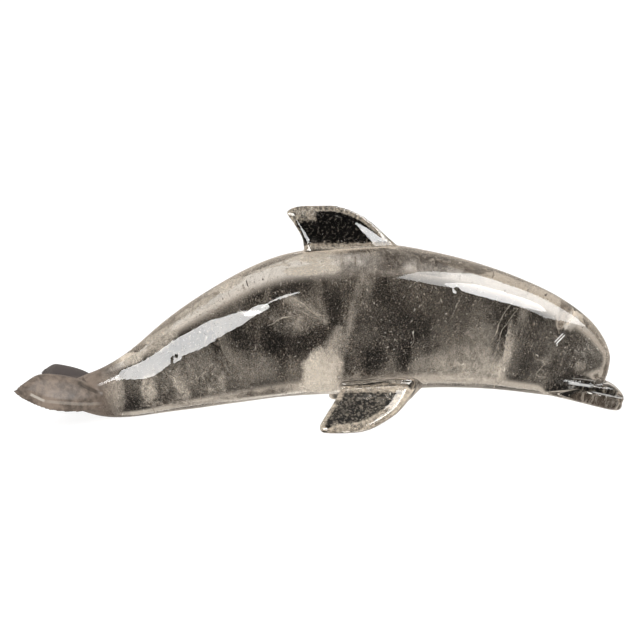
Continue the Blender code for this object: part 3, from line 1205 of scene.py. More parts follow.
def closed_sheet(front: Array, across: Array, shares: Array, cells: int) -> tuple[Array, Array, Array]:
    """Close a square grid of points with a copy a hair behind it.

    Args:
        front: points ((cells + 1) ** 2, 3), row by row.
        across: unit vector from the grid to its copy.
        shares: one number, or a row of them, for each point.
        cells: faces along one side.

    Returns:
        Points, quads that face outward, and shares, for both layers.
    """
    index = np.arange((cells + 1) ** 2).reshape(cells + 1, cells + 1)
    near = np.stack((index[:-1, :-1], index[:-1, 1:], index[1:, 1:], index[1:, :-1]), axis=-1)
    far = near[..., ::-1] + index.size
    rim = np.concatenate((index[0, :-1], index[:-1, -1], index[-1, :0:-1], index[:0:-1, 0]))
    after = np.roll(rim, -1)
    band = np.stack((after, rim, rim + index.size, after + index.size), axis=-1)
    faces = np.concatenate((near.reshape(-1, 4), far.reshape(-1, 4), band))
    points = np.concatenate((front, front + SHEET_THICKNESS * across))
    return points, faces, np.concatenate((shares, shares))


def joined_sheets(sheets: list[tuple[Array, Array, Array]]) -> tuple[Array, Array, Array]:
    """Join closed sheets of equally many points.

    Args:
        sheets: points, faces and shares of each.

    Returns:
        Points, faces and shares of them all.
    """
    points, faces, shares = zip(*sheets)
    starts = [number * len(points[0]) for number in range(len(sheets))]
    faces = [face + start for face, start in zip(faces, starts)]
    return np.concatenate(points), np.concatenate(faces), np.concatenate(shares)


def hold_shares(mesh: bpy.types.Mesh, **shares: Array) -> None:
    """Keep numbers as mesh attributes.

    Args:
        mesh: where they are kept.
        shares: a number for each point, kept as an attribute of this name.
    """
    for name, values in shares.items():
        held = mesh.attributes.new(name, "FLOAT", "POINT")
        held.data.foreach_set("value", values.astype(np.float32))


def add_mesh(name: str, points: Array, faces: Array, **shares: Array) -> bpy.types.Object:
    """Put a mesh of equally sided faces in the scene at the origin.

    Args:
        name: the piece's name.
        points: corner positions (count, 3).
        faces: corner numbers (count, sides).
        shares: a number for each point, kept as an attribute of this name.

    Returns:
        The piece.
    """
    mesh = bpy.data.meshes.new(name)
    mesh.vertices.add(len(points))
    mesh.vertices.foreach_set("co", points.astype(np.float32).ravel())
    mesh.loops.add(faces.size)
    mesh.loops.foreach_set("vertex_index", faces.astype(np.int32).ravel())
    mesh.polygons.add(len(faces))
    mesh.polygons.foreach_set("loop_start", np.arange(len(faces), dtype=np.int32) * faces.shape[1])
    hold_shares(mesh, **shares)
    mesh.update(calc_edges=True)
    return link(name, mesh)


def random_turns(count: int, random: np.random.Generator) -> Array:
    """Random rotations, from unit quaternions.

    Args:
        count: how many.
        random: the source of the numbers.

    Returns:
        Matrices (count, 3, 3).
    """
    turns = random.normal(size=(4, count))
    w, x, y, z = turns / np.linalg.norm(turns, axis=0)
    return np.stack(
        (
            np.stack((1 - 2 * (y * y + z * z), 2 * (x * y - z * w), 2 * (x * z + y * w)), axis=-1),
            np.stack((2 * (x * y + z * w), 1 - 2 * (x * x + z * z), 2 * (y * z - x * w)), axis=-1),
            np.stack((2 * (x * z - y * w), 2 * (y * z + x * w), 1 - 2 * (x * x + y * y)), axis=-1),
        ),
        axis=-2,
    )


@dataclass(frozen=True)
class Flecks:
    """Tiny closed four-faced splinters, turned at random.

    A length is the size times e to the power of a random number, which spreads as a bell
    with a middle and a width. Slimness is breadth and thickness as shares of it.
    """

    seed: int
    count: int
    size: float
    spread: Span
    slimness: Span
    corners: tuple = ((-0.5, -0.5, -0.3), (0.5, -0.4, 0.1), (0.0, 0.6, -0.1), (0.05, 0.0, 0.6))
    sides: tuple = ((0, 2, 1), (0, 1, 3), (1, 2, 3), (2, 0, 3))

    def at(self, centres: Array, random: np.random.Generator) -> tuple[Array, Array]:
        """Splinters at some places.

        Args:
            centres: middles (count, 3).
            random: the source of the lengths and turns.

        Returns:
            Points (4 * count, 3) and triangles (4 * count, 3).
        """
        count = len(centres)
        lengths = self.size * np.exp(random.normal(*self.spread, size=count))
        corners = np.array(self.corners) * np.array((1.0, *self.slimness))
        points = centres[:, None] + lengths[:, None, None] * (corners @ random_turns(count, random))
        faces = np.array(self.sides)[None] + 4 * np.arange(count)[:, None, None]
        return points.reshape(-1, 3), faces.reshape(-1, 3)


@dataclass(frozen=True)
class Veil:
    """A curved healed crack, a thin closed lens. Places are in hundredths of the length.

    It faces away from the carving's right side, turned by yaw about the upright, by
    pitch about the length and by roll about the width, in degrees. Its middle bulges.
    """

    centre: tuple[float, float, float]
    half_width: float
    half_height: float
    bulge: float
    cover: float
    yaw: float = 0.0
    pitch: float = 0.0
    roll: float = 0.0
    softness: float = 0.9
    tone: float = 0.75
    haze: float = 0.0
    upright_bulge: float = 0.6
    swell: Swell = Swell(0.0012, (0.006, 0.020), 12)
    fray: Swell = Swell(0.35, (0.003, 0.018), 20, seed=900)

    def lens(self, share: float, cells: int, seed: int) -> tuple[Array, Array, Array]:
        """Its mesh and how dense it is.

        The two faces are one grid and its copy a hair behind. Their depth is a dome plus
        a random swell. The cover falls from the middle to a frayed rim.

        Args:
            share: metres in a hundredth of the carving's length.
            cells: faces along one side.
            seed: the source of its swell and its rim.

        Returns:
            Points, quads and the cover at each point.
        """
        u, v = np.meshgrid(np.linspace(-1, 1, cells + 1), np.linspace(-1, 1, cells + 1))
        depth = self.bulge * (1 - u * u - self.upright_bulge * v * v)
        flat = np.stack((u * self.half_width, depth, v * self.half_height), axis=-1).reshape(-1, 3)
        turns = zip((self.yaw, self.pitch, self.roll), "ZXY")
        yaw, pitch, roll = (Matrix.Rotation(math.radians(angle), 3, axis) for angle, axis in turns)
        turn = yaw @ pitch @ roll
        front = (flat @ np.array(turn).T + np.array(self.centre)) * share
        front[:, 1] += self.swell.at(front, seed)
        edge = (u * u + v * v).ravel() + self.fray.at(front, seed)
        cover = self.cover * np.clip(1 - edge, 0.0, 1.0) ** self.softness
        return closed_sheet(front, np.array(turn.col[1]), cover, cells)


@dataclass
class Stone:
    """Mist, glints, veils and veins sealed in the crystal, and sheets of painted shade and light in fins and
    jaw.

    Share is the metres in a hundredth of the carving's length. Places, ranges along it
    and spreads are in hundredths of the length, radii and sizes in metres. Margin and
    shallow are of the reach, 0 on the body's middle line and 1 on its surface. A cluster
    is a place, a spread and a count, and in a fin it has three spreads. Free veils lie
    near the surface, in the dorsal fin's root and in the jaws, the others deeper.
    """

    share: float
    body: Trunk
    margin: float = 0.93
    shallow: Span = (-0.97, -0.90)
    ends: Span = (-42.5, 46.9)
    box: tuple = ((-42.5, -10.3, 0.0), (47.0, 10.3, 28.6))
    tries: int = 22
    clumps: Swell = Swell(1.0, (0.005, 0.018), 36, seed=3)
    clump_edge: Span = (-0.5, 1.7)
    clouds: Swell = Swell(1.0, (0.03, 0.07), 14, seed=5)
    cloud_edge: Span = (-1.0, 1.2)
    cloud_least: float = 0.35
    mist_shares: tuple = (0.07, 0.62, 0.30, 0.10)
    mist_tail: Span = (4.0, 26.0)
    mist_head: Span = (26.0, 38.0)
    mist_pieces: int = 3
    brown: Flecks = Flecks(11, 34000, 0.00010, spread=(0.05, 0.65), slimness=(0.8, 0.5))
    white: Flecks = Flecks(17, 4200, 0.00021, spread=(0.1, 0.7), slimness=(0.3, 0.2))
    cluster_form: tuple = (1.0, 0.5, 0.6)
    fin_glints: int = 110
    fin_glint_offset: float = 0.0003
    heart_least: float = 0.6
    vein_radius: float = 0.00012
    vein_rows: int = 90
    vein_sides: int = 5
    vein_tip: float = 0.05
    vein_wander: Swell = Swell(0.00035, (0.002, 0.009), 10)
    vein_beads: Swell = Swell(0.4, (0.0008, 0.003), 8)
    vein_cover: float = 0.85
    # Cover and paling of the fin sheets' painted light round their hearts.
    rim_light_cover: float = 0.85
    rim_light_front: float = 0.3
    rim_light_start: Span = (10.5, 13.5)
    veil_cells: int = 21
    jaw_cells: int = 22
    random_count: int = 34
    random_seed: int = 23
    random_sizes: Span = (2.0, 7.5)
    random_turns: tuple = ((-80, -40, -60), (80, 40, 60))
    random_looks: tuple = ((0.2, 0.04, 1.0, 0.4, 0.0), (1.6, 0.20, 1.4, 0.9, 1.0))
    # Painted shade: dark sheets in the upper jaw where it looks dark.
    jaw_painted_shade: tuple = (
        Veil((44.4, -1.0, 4.7), 3.8, 0.5, 0.1, 1.0, roll=14, softness=0.3),
        Veil((47.8, -0.4, 4.0), 1.2, 0.45, 0.1, 1.0, roll=30, softness=0.3),
    )
    free_veils: tuple = (
        Veil((3.0, -0.5, 28.1), 6.6, 0.55, 0.0, 0.9, roll=1, softness=0.4, tone=0.6),
        Veil((4.4, 0.3, 28.2), 5.2, 0.50, 0.0, 0.7, roll=1, softness=0.5, tone=0.5),
        Veil((45.0, -0.9, 2.6), 4.2, 0.9, 0.1, 1.0, roll=14, softness=0.3, tone=0.04, haze=0.7),
        Veil((45.6, 0.4, 2.6), 3.8, 0.9, 0.1, 0.9, roll=14, softness=0.4, tone=0.08, haze=0.8),
        Veil((8.8, -5.6, 6.5), 5.6, 0.50, 0.1, 0.85, softness=0.4, tone=0.5, haze=0.5),
        Veil((-25.6, -2.7, 3.1), 5.6, 0.55, 0.1, 0.7, roll=-3, softness=0.4, tone=0.3, haze=0.6),
        Veil((-13.6, -3.2, 3.9), 8.0, 0.60, 0.1, 0.45, roll=-6, softness=0.4, tone=0.1, haze=0.6),
    )
    body_veils: tuple = (
        Veil((0.3, -4.6, 9.2), 3.4, 4.6, 0.6, 1.0, yaw=10, roll=24, softness=0.5, tone=1.15),
        Veil((-0.4, -3.2, 8.0), 3.8, 4.0, 0.9, 1.0, yaw=-12, roll=22, softness=0.5, tone=1.15),
        Veil((0.9, -1.8, 9.6), 3.0, 5.2, 0.5, 1.0, yaw=14, roll=24, softness=0.6),
        Veil((-1.4, -4.0, 6.4), 4.0, 1.9, 0.4, 0.9, yaw=6, roll=8),
        Veil((2.4, -4.8, 13.4), 1.7, 5.4, 0.6, 0.85, yaw=20, roll=22),
        Veil((5.6, -4.4, 18.4), 1.1, 6.6, 0.6, 0.50, yaw=36, roll=20, haze=0.4),
        Veil((8.4, -2.4, 23.0), 1.1, 5.6, 0.5, 0.45, yaw=40, roll=16, haze=0.4),
        Veil((4.0, -1.4, 24.0), 1.2, 5.0, 0.5, 0.60, yaw=62, roll=6),
        Veil((2.0, -0.4, 28.5), 5.0, 0.9, 0.2, 1.0, pitch=10, softness=0.4),
        Veil((-0.6, -3.8, 24.6), 5.8, 1.9, 0.3, 1.0, pitch=30, roll=-4, softness=0.5, tone=1.2),
        Veil((-1.6, -2.6, 25.4), 6.8, 1.8, 0.3, 1.0, pitch=36, softness=0.5, tone=1.2),
        Veil((-7.5, -2.2, 24.2), 4.2, 1.4, 0.3, 0.8, pitch=30, roll=-16),
        Veil((-14.6, -1.8, 22.0), 4.4, 1.9, 0.3, 1.0, pitch=26, roll=-26, softness=0.5, tone=0.95),
        Veil((-16.4, -1.0, 20.8), 4.6, 2.0, 0.4, 1.0, pitch=20, roll=-30, softness=0.5, tone=0.95),
        Veil((-20.6, -1.6, 17.8), 4.6, 1.7, 0.4, 1.0, pitch=20, roll=-38, softness=0.6, tone=0.95),
        Veil((-26.6, -1.4, 13.6), 4.8, 1.5, 0.3, 0.95, pitch=20, roll=-42, tone=0.95),
        Veil((-2.0, -5.0, 18.7), 4.2, 1.0, 1.2, 0.62, yaw=-14, roll=28, softness=1.0, haze=0.2),
        Veil((-3.4, -4.4, 19.6), 3.4, 0.9, 1.4, 0.55, yaw=18, roll=16, softness=1.0, haze=0.2),
        Veil((-2.6, -4.6, 20.4), 3.0, 0.8, 1.0, 0.60, yaw=14, roll=-14, softness=0.8),
        Veil((-3.0, -3.6, 17.6), 4.8, 3.2, 0.6, 0.20, yaw=10, roll=-6, tone=0.5, haze=1.0),
        Veil((-27.0, -2.6, 6.4), 8.0, 4.6, 0.6, 0.24, yaw=8, roll=-8, tone=0.5, haze=1.0),
        Veil((-16.0, -3.6, 7.8), 9.0, 4.4, 0.6, 0.20, yaw=-6, roll=-4, tone=0.45, haze=1.0),
        Veil((-35.0, -2.0, 4.8), 2.2, 4.0, 0.4, 0.40, yaw=10, tone=0.95, haze=1.0),
        Veil((22.0, -4.2, 8.8), 9.0, 4.4, 0.6, 0.25, yaw=6, roll=-8, tone=0.75, haze=1.0),
        Veil((27.0, -3.4, 10.4), 6.4, 5.6, 0.8, 0.20, yaw=-8, roll=16, tone=0.65, haze=1.0),
        Veil((38.6, -2.4, 12.0), 8.6, 6.0, 0.6, 0.11, yaw=6, roll=14, tone=0.5, haze=1.0),
        Veil((6.4, -4.6, 17.4), 4.2, 7.4, 0.6, 0.05, yaw=14, roll=22, tone=0.45, haze=1.0),
        Veil((6.0, -0.8, 24.8), 6.0, 4.4, 0.4, 0.14, yaw=14, roll=10, tone=0.5, haze=1.0),
        Veil((19.6, -1.2, 25.0), 9.0, 2.6, 0.3, 0.95, roll=9, softness=0.5, tone=0.1, haze=0.9),
        Veil((-6.4, -4.6, 17.0), 2.8, 0.9, 0.6, 0.75, yaw=10, roll=14),
        Veil((-3.4, -4.2, 15.6), 2.8, 3.0, 0.8, 0.40, yaw=24, roll=16),
        Veil((-10.0, -4.2, 10.0), 5.0, 3.2, 0.9, 0.34, yaw=12, roll=24, haze=0.3),
        Veil((-22.0, -3.2, 9.0), 6.0, 2.6, 0.5, 0.20, roll=-30, tone=0.6, haze=1.0),
        Veil((-17.5, -3.4, 6.6), 7.0, 2.4, 0.8, 0.62, yaw=6, roll=6),
        Veil((-23.0, -2.8, 6.0), 4.4, 3.0, 0.8, 0.65, yaw=-10, roll=16),
        Veil((-28.4, -2.2, 5.6), 2.0, 3.6, 0.5, 0.85, yaw=18, roll=12),
        Veil((-34.8, -2.0, 4.8), 2.2, 3.6, 0.4, 1.0, yaw=14, roll=8, softness=0.5, tone=1.1),
        Veil((-37.4, -1.0, 5.2), 2.6, 3.0, 0.4, 0.9, yaw=-20),
        Veil((23.4, -4.2, 8.6), 6.6, 3.2, 0.8, 0.70, yaw=8, pitch=-20, softness=1.5),
        Veil((27.2, -3.6, 8.2), 4.4, 2.8, 0.6, 0.80, yaw=-10, pitch=-14, softness=1.2),
        Veil((20.0, -4.0, 7.2), 5.0, 2.2, 0.5, 0.70, yaw=12, roll=-6, softness=1.2),
        Veil((25.6, -2.4, 12.4), 5.4, 4.4, 1.2, 0.42, yaw=26, roll=20, softness=1.5),
        Veil((33.2, -2.6, 17.2), 1.1, 5.0, 0.6, 0.55, yaw=40, roll=26, haze=0.5),
        Veil((30.6, -3.0, 11.4), 1.1, 5.6, 0.7, 0.75, yaw=44, roll=12, haze=0.4),
        Veil((29.6, -2.4, 8.6), 1.1, 3.4, 0.5, 0.85, yaw=40, roll=8),
        Veil((36.0, -2.8, 9.6), 3.4, 2.4, 0.5, 0.50, yaw=20, pitch=16),
        Veil((42.6, -2.0, 8.8), 3.6, 1.6, 0.4, 0.60, yaw=-20, pitch=16),
        Veil((24.4, -3.0, 21.4), 4.0, 1.2, 0.4, 0.25, pitch=20, roll=8),
        Veil((8.4, -1.4, 25.8), 6.4, 2.6, 0.2, 1.0, roll=4, softness=0.5, tone=0.05, haze=0.9),
        Veil((-1.2, -1.8, 26.0), 4.4, 1.3, 0.2, 1.0, roll=-2, softness=0.5, tone=1.1, haze=0.5),
        Veil((1.8, -4.9, 11.6), 2.3, 5.4, 0.4, 0.7, yaw=10, roll=28, tone=0.8, haze=0.6),
        Veil((-26.4, -2.2, 12.6), 5.6, 1.5, 0.3, 0.9, pitch=28, roll=-40, softness=0.6, tone=0.7),
        Veil((-8.6, -4.4, 5.6), 5.6, 1.2, 0.1, 1.0, roll=-9, softness=0.5, tone=0.0, haze=0.2),
        Veil((-13.0, -3.4, 4.8), 8.6, 1.0, 0.1, 0.55, roll=-5, softness=0.6, tone=0.1, haze=0.5),
        Veil((7.8, -3.0, 24.4), 5.4, 2.2, 0.2, 0.9, roll=6, softness=0.6, tone=0.0, haze=0.4),
        Veil((9.6, -4.8, 14.4), 4.0, 5.4, 0.4, 0.08, roll=14, tone=0.4, haze=1.0),
        Veil((5.0, -4.6, 9.0), 3.2, 4.0, 0.4, 0.14, roll=20, tone=0.4, haze=1.0),
        Veil((9.0, -5.0, 8.4), 6.4, 0.9, 0.2, 0.60, softness=0.6, tone=0.15, haze=0.8),
        Veil((-31.0, -1.0, 9.8), 4.4, 1.2, 0.3, 1.0, pitch=20, roll=-40, tone=0.95),
    )
    clusters: tuple = (
        (43.6, -2.6, 11.0, 1.7, 420),
        (37.8, -2.0, 16.0, 0.9, 60),
        (8.4, -4.8, 17.6, 0.25, 14),
        (15.6, -5.0, 11.2, 0.5, 40),
        (-36.6, -2.6, 6.2, 1.4, 60),
        (-24.0, -3.2, 8.0, 4.0, 120),
        (-8.0, -4.5, 13.0, 5.0, 160),
        (30.0, -3.2, 9.0, 0.5, 24),
        (1.0, -4.5, 9.0, 2.0, 120),
        (15.0, -4.5, 14.0, 3.0, 70),
    )
    fin_clusters: tuple = (
        (-2.9, 0.0, 34.1, 1.1, 0.2, 0.35, 260),
        (-1.2, 0.0, 33.9, 1.0, 0.2, 0.40, 160),
        (0.4, 0.0, 30.6, 0.1, 0.2, 0.10, 6),
        (5.6, 0.0, 29.3, 1.4, 0.5, 0.35, 60),
    )
    vein_lines: tuple = (
        ((-27.4, -3.0, 9.6), (-25.4, -3.2, 7.9), (-22.6, -3.5, 6.6), (-20.6, -3.8, 7.6), (-17.6, -4.4, 10.0)),
        ((30.4, -3.3, 9.6), (29.8, -3.0, 8.0), (28.9, -2.3, 6.3)),
        ((-4.6, -4.6, 20.9), (-2.6, -4.8, 19.6), (-0.6, -5.0, 18.2), (1.6, -5.0, 17.8)),
        ((-3.8, -4.8, 19.2), (-2.0, -5.0, 18.0), (0.4, -5.2, 17.4)),
        ((-8.6, -4.6, 16.2), (-5.8, -4.8, 17.2), (-3.0, -5.0, 18.0)),
        ((22.8, -5.0, 20.2), (22.0, -5.1, 18.6), (21.0, -5.2, 16.8)),
        ((15.0, -5.4, 15.4), (15.3, -5.4, 14.0), (14.7, -5.4, 12.8)),
        ((33.0, -3.2, 18.6), (30.8, -3.6, 16.4), (29.0, -4.0, 13.0), (28.0, -3.4, 9.6), (27.4, -2.4, 6.8)),
        ((31.6, -3.4, 19.4), (29.2, -3.8, 16.0), (27.6, -4.0, 12.6)),
        ((35.0, -3.4, 10.4), (36.4, -3.2, 9.2), (35.6, -2.8, 7.8), (37.4, -2.8, 7.0)),
        ((6.2, -0.6, 28.4), (7.4, -0.8, 26.9), (8.4, -1.4, 25.4)),
        ((8.2, -0.6, 28.3), (6.6, -0.8, 27.0), (5.4, -1.4, 25.8)),
    )

    def drawn_in(self, points: Array) -> tuple[Array, Array]:
        """Move points to lie well inside the body.

        Args:
            points: places in metres (count, 3).

        Returns:
            Their new places, and for each 0 if it lay near or past the surface and 1 if
            it lay deeper.
        """
        points = points.copy()
        points[:, 0] = np.clip(points[:, 0], *(end * self.share for end in self.ends))
        reach = self.body.reach_of(points, self.share)
        middle = self.body.middle_of(points, self.share)
        pull = np.minimum(1.0, self.margin / np.maximum(reach, 1e-6))[:, None]
        return middle + (points - middle) * pull, ease(-reach, *self.shallow)

    def scatter(
        self, count: int, random: np.random.Generator, density: Callable[[Array], Array] | None = None
    ) -> Array:
        """Random places inside the body.

        Args:
            count: the most that there may be.
            random: the source of the places.
            density: gives the share of places to keep, from 0 to 1, or all are kept.

        Returns:
            Places in metres (up to count, 3).
        """
        places = random.uniform(*np.array(self.box), size=(count * self.tries, 3)) * self.share
        places = places[self.body.reach_of(places, self.share) < self.margin]
        if density is not None:
            places = places[density(places) > random.uniform(size=len(places))]
        return places[:count]

    def mist_density(self, points: Array) -> Array:
        """Cloudy mist: two random swells raised to clumps, thicker towards both ends.

        Args:
            points: places in metres (count, 3).

        Returns:
            The share of flecks to keep at each, from 0 to 1.
        """
        clumps = ease(self.clumps.at(points), *self.clump_edge)
        clouds = ease(self.clouds.at(points), *self.cloud_edge)
        tail = ease(-points[:, 0] / self.share, *self.mist_tail)
        head = ease(points[:, 0] / self.share, *self.mist_head)
        least, clumped, at_tail, at_head = self.mist_shares
        clumped = clumped * clumps * (self.cloud_least + (1 - self.cloud_least) * clouds)
        return np.clip(least + clumped + at_tail * tail + at_head * head, 0.0, 1.0)

    def mist(self, number: int) -> bpy.types.Object:
        """Fine brown mist through the whole body.

        Args:
            number: which of several pieces.

        Returns:
            The piece.
        """
        random = np.random.default_rng(self.brown.seed + number)
        centres = self.scatter(self.brown.count, random, self.mist_density)
        return add_mesh(f"stone_mist_{number}", *self.brown.at(centres, random))

    def glints(self, fins: list[Fin]) -> bpy.types.Object:
        """Bright splinters and bubbles, larger and fewer.

        Args:
            fins: the dorsal fin, which has clusters of its own, then the pectoral fins.

        Returns:
            The piece.
        """
        random = np.random.default_rng(self.white.seed)
        centres = [self.scatter(self.white.count, random, self.mist_density)]
        for *place, spread, count in self.clusters:
            offsets = random.normal(size=(count, 3)) * [spread * part for part in self.cluster_form]
            centres.append((offsets + place) * self.share)
        places = [self.drawn_in(np.concatenate(centres))[0]]
        for *place, wide, thick, high, count in self.fin_clusters:
            offsets = random.normal(size=(count, 3)) * (wide, thick, high)
            places.append((offsets + place) * self.share)
        for points, _, shares in (fin.sheet(self.share) for fin in fins[1:]):
            held = random.choice(np.flatnonzero(shares[:, 0] > self.heart_least), self.fin_glints)
            offsets = random.normal(size=(self.fin_glints, 3)) * self.fin_glint_offset
            places.append(points[held] + offsets)
        return add_mesh("stone_glints", *self.white.at(np.concatenate(places), random))

    def vein(self, seed: int, stations: tuple) -> Shell:
        """A thin closed thread along a wandering curve, beaded, with tapered ends.

        Args:
            seed: the source of its wander and its beads.
            stations: places that the curve passes.

        Returns:
            The thread.
        """
        middle = smooth_rows(stations, self.vein_rows) * self.share
        wander = [self.vein_wander.at(middle, seed * 3 + axis) for axis in range(3)]
        middle += np.stack(wander, axis=-1)
        along = np.linspace(self.vein_tip, math.pi - self.vein_tip, self.vein_rows)
        radius = self.vein_radius * np.sin(along) ** 0.5 * (1 + self.vein_beads.at(middle, seed))
        angle = np.linspace(0.0, 2 * math.pi, self.vein_sides, endpoint=False)
        ring = np.stack((np.cos(angle), np.sin(angle)), axis=-1)
        across = (0.0, 1.0, 0.0)
        side = np.cross(np.gradient(middle, axis=0), across)
        side /= np.linalg.norm(side, axis=1, keepdims=True)
        basis = np.stack((side, np.broadcast_to(across, side.shape)), axis=1)
        return Shell.loft(middle[:, None] + radius[:, None, None] * (ring @ basis))

    def veins(self) -> bpy.types.Object:
        """Make the fine bright lines.

        Returns:
            One piece that holds them all.
        """
        joined = Shell.joined([self.vein(*line) for line in enumerate(self.vein_lines)])
        piece = joined.add_to_scene("stone_veins")
        full = np.full(len(joined.points), self.vein_cover)
        hold_shares(piece.data, cover=full, tone=full)
        return piece

    def fin_painted_light_sheets(self, fins: list[Fin]) -> bpy.types.Object:
        """A sheet in each fin, painted shade where the fin is flat and painted light round it.

        Args:
            fins: the fins that get one.

        Returns:
            The piece. Its painted light is paler still towards the front.
        """
        points, faces, shares = joined_sheets([fin.sheet(self.share) for fin in fins])
        heart, out = shares.T
        tones = [(fin.heart_shade_tone, fin.rim_light_tone) for fin in fins]
        dark, rim = np.repeat(tones, len(points) // len(fins), axis=0).T
        # Painted light round each fin's heart, painted shade in it.
        pale = rim + self.rim_light_front * ease(points[:, 0] / self.share, *self.rim_light_start)
        cover = (self.rim_light_cover + (1 - self.rim_light_cover) * heart) * out
        return add_mesh("fin_painted_light_sheets", points, faces, cover=cover, tone=pale + heart * (dark - pale))

    def painted_shade_lenses(self) -> bpy.types.Object:
        """Make the painted shade in the upper jaw: a dark lens along it and a dark wedge at its tip.

        Returns:
            One piece that holds both.
        """
        veils = enumerate(self.jaw_painted_shade)
        lenses = [veil.lens(self.share, self.jaw_cells, seed) for seed, veil in veils]
        points, faces, cover = joined_sheets(lenses)
        return add_mesh("jaw_painted_shade", points, faces, cover=cover, tone=0.0 * cover)

    def random_veils(self) -> list[Veil]:
        """Draw faint veils at random.

        Returns:
            Enough of them that every side shows some.
        """
        random = np.random.default_rng(self.random_seed)
        centres = self.scatter(self.random_count, random) / self.share
        sizes = random.uniform(*self.random_sizes, size=(self.random_count, 2))
        turns = random.uniform(*self.random_turns, size=(self.random_count, 3))
        looks = random.uniform(*self.random_looks, size=(self.random_count, 5))
        rows = zip(centres.tolist(), sizes.tolist(), turns.tolist(), looks.tolist())
        return [Veil(tuple(at), *size, *look[:2], *turn, *look[2:]) for at, size, turn, look in rows]

    def veils(self) -> bpy.types.Object:
        """Make the veils.

        Returns:
            One piece that holds them all. The body's are drawn in and fade at its surface.
        """
        listed = [*self.free_veils, *self.body_veils, *self.random_veils()]
        lenses = [veil.lens(self.share, self.veil_cells, seed) for seed, veil in enumerate(listed)]
        points, faces, cover = joined_sheets(lenses)
        each = len(points) // len(listed)
        inside = np.arange(len(points)) >= len(self.free_veils) * each
        points[inside], depth = self.drawn_in(points[inside])
        cover[inside] *= depth
        tone, haze = np.repeat([(veil.tone, veil.haze) for veil in listed], each, axis=0).T
        return add_mesh("stone_veils", points, faces, cover=cover, tone=tone, haze=haze)

    def build(self, fins: list[Fin]) -> None:
        """Make and mount everything in the stone.

        Args:
            fins: the dorsal fin and the two pectoral fins.
        """
        mist = FleckFinish("brown_mist", paint(200, 186, 170), paint(70, 61, 54)).material()
        white = FleckFinish("white_glints", paint(250, 246, 238), paint(200, 190, 178)).material()
        beige = VeilFinish("beige_veils", paint(240, 230, 215), paint(72, 63, 55)).material()
        mottle = {"clump": Noise(400.0, 9.0, 0.66), "speckle": 0.97, "grain": Noise(1000.0, 5.0, 0.70)}
        # Finish of the fin and jaw sheets: dark where they are painted shade, pale where painted light.
        painted_light_finish = VeilFinish("fin_and_jaw_painted_light", paint(240, 226, 206), paint(12, 11, 10), **mottle).material()
        pieces = [(self.mist(number), mist) for number in range(self.mist_pieces)]
        pieces += [(self.glints(fins), white), (self.veils(), beige), (self.veins(), beige)]
        # Sheets of painted shade and painted light in the fins and the upper jaw.
        pieces += [(self.fin_painted_light_sheets(fins), painted_light_finish), (self.painted_shade_lenses(), painted_light_finish)]
        for piece, material in pieces:
            piece.data.materials.append(material)
            piece.visible_diffuse = piece.visible_shadow = False
            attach(piece, BODY)
            LOG.info("%s: %d faces", piece.name, len(piece.data.polygons))


class Outline(Enum):
    """The outline of a lit panel."""

    RECTANGLE = "RECTANGLE"
    ELLIPSE = "ELLIPSE"


@dataclass(frozen=True)
class Softbox:
    """A lit panel that faces the carving's middle.

    Its azimuth runs from the right side, -Y, towards the beak. Angles are in degrees,
    sizes in metres.
    """

    name: str
    azimuth: float
    elevation: float
    roll: float
    width: float
    height: float
    radiance: float
    in_polish: bool = True
    distance: float = 1.0
    outline: Outline = Outline.RECTANGLE

    def hang(self, aim: Vector) -> None:
        """Hang it, seen either in the stone's polish alone or by diffuse light alone.

        Args:
            aim: the point that it faces.
        """
        light = bpy.data.lights.new(self.name, "AREA")
        light.shape = self.outline.value
        light.size, light.size_y = self.width, self.height
        light.energy = self.radiance * math.pi * self.width * self.height
        lamp = link(self.name, light)
        azimuth, elevation, roll = (math.radians(a) for a in (self.azimuth, self.elevation, self.roll))
        flat = math.cos(elevation)
        outward = Vector((math.sin(azimuth) * flat, -math.cos(azimuth) * flat, math.sin(elevation)))
        turn = outward.to_track_quat("Z", "Y").to_matrix().to_4x4() @ Matrix.Rotation(roll, 4, "Z")
        lamp.matrix_world = Matrix.Translation(aim + self.distance * outward) @ turn
        lamp.visible_camera = lamp.visible_transmission = False
        lamp.visible_glossy, lamp.visible_diffuse = self.in_polish, not self.in_polish


@dataclass(frozen=True)
class Camera:
    """A long lens at the photograph's angle, ten degrees above the carving.

    Focal length and picture are in pixels, the sensor is in millimetres. The axes are
    those of the picture, and back points from the target to the camera.
    """

    focal_pixels: float = 2050.0
    picture_pixels: float = 640.0
    sensor: float = 36.0
    distance: float = 0.7175
    target: tuple[float, float, float] = (-0.00056, 0.0, 0.033915)
    right: tuple[float, float, float] = (0.99791, 0.06105, -0.02090)
    up: tuple[float, float, float] = (0.01002, 0.17332, 0.98482)
    back: tuple[float, float, float] = (0.06375, -0.98297, 0.17235)
    clip: Span = (0.01, 100.0)

    def stand(self) -> None:
        """Put it in the scene."""
        data = bpy.data.cameras.new("camera")
        data.sensor_width = self.sensor
        data.lens = self.sensor * self.focal_pixels / self.picture_pixels
        data.clip_start, data.clip_end = self.clip
        camera = link("camera", data)
        turn = Matrix((self.right, self.up, self.back)).transposed().to_4x4()
        place = Vector(self.target) + self.distance * Vector(self.back)
        camera.matrix_world = Matrix.Translation(place) @ turn
        bpy.context.scene.camera = camera


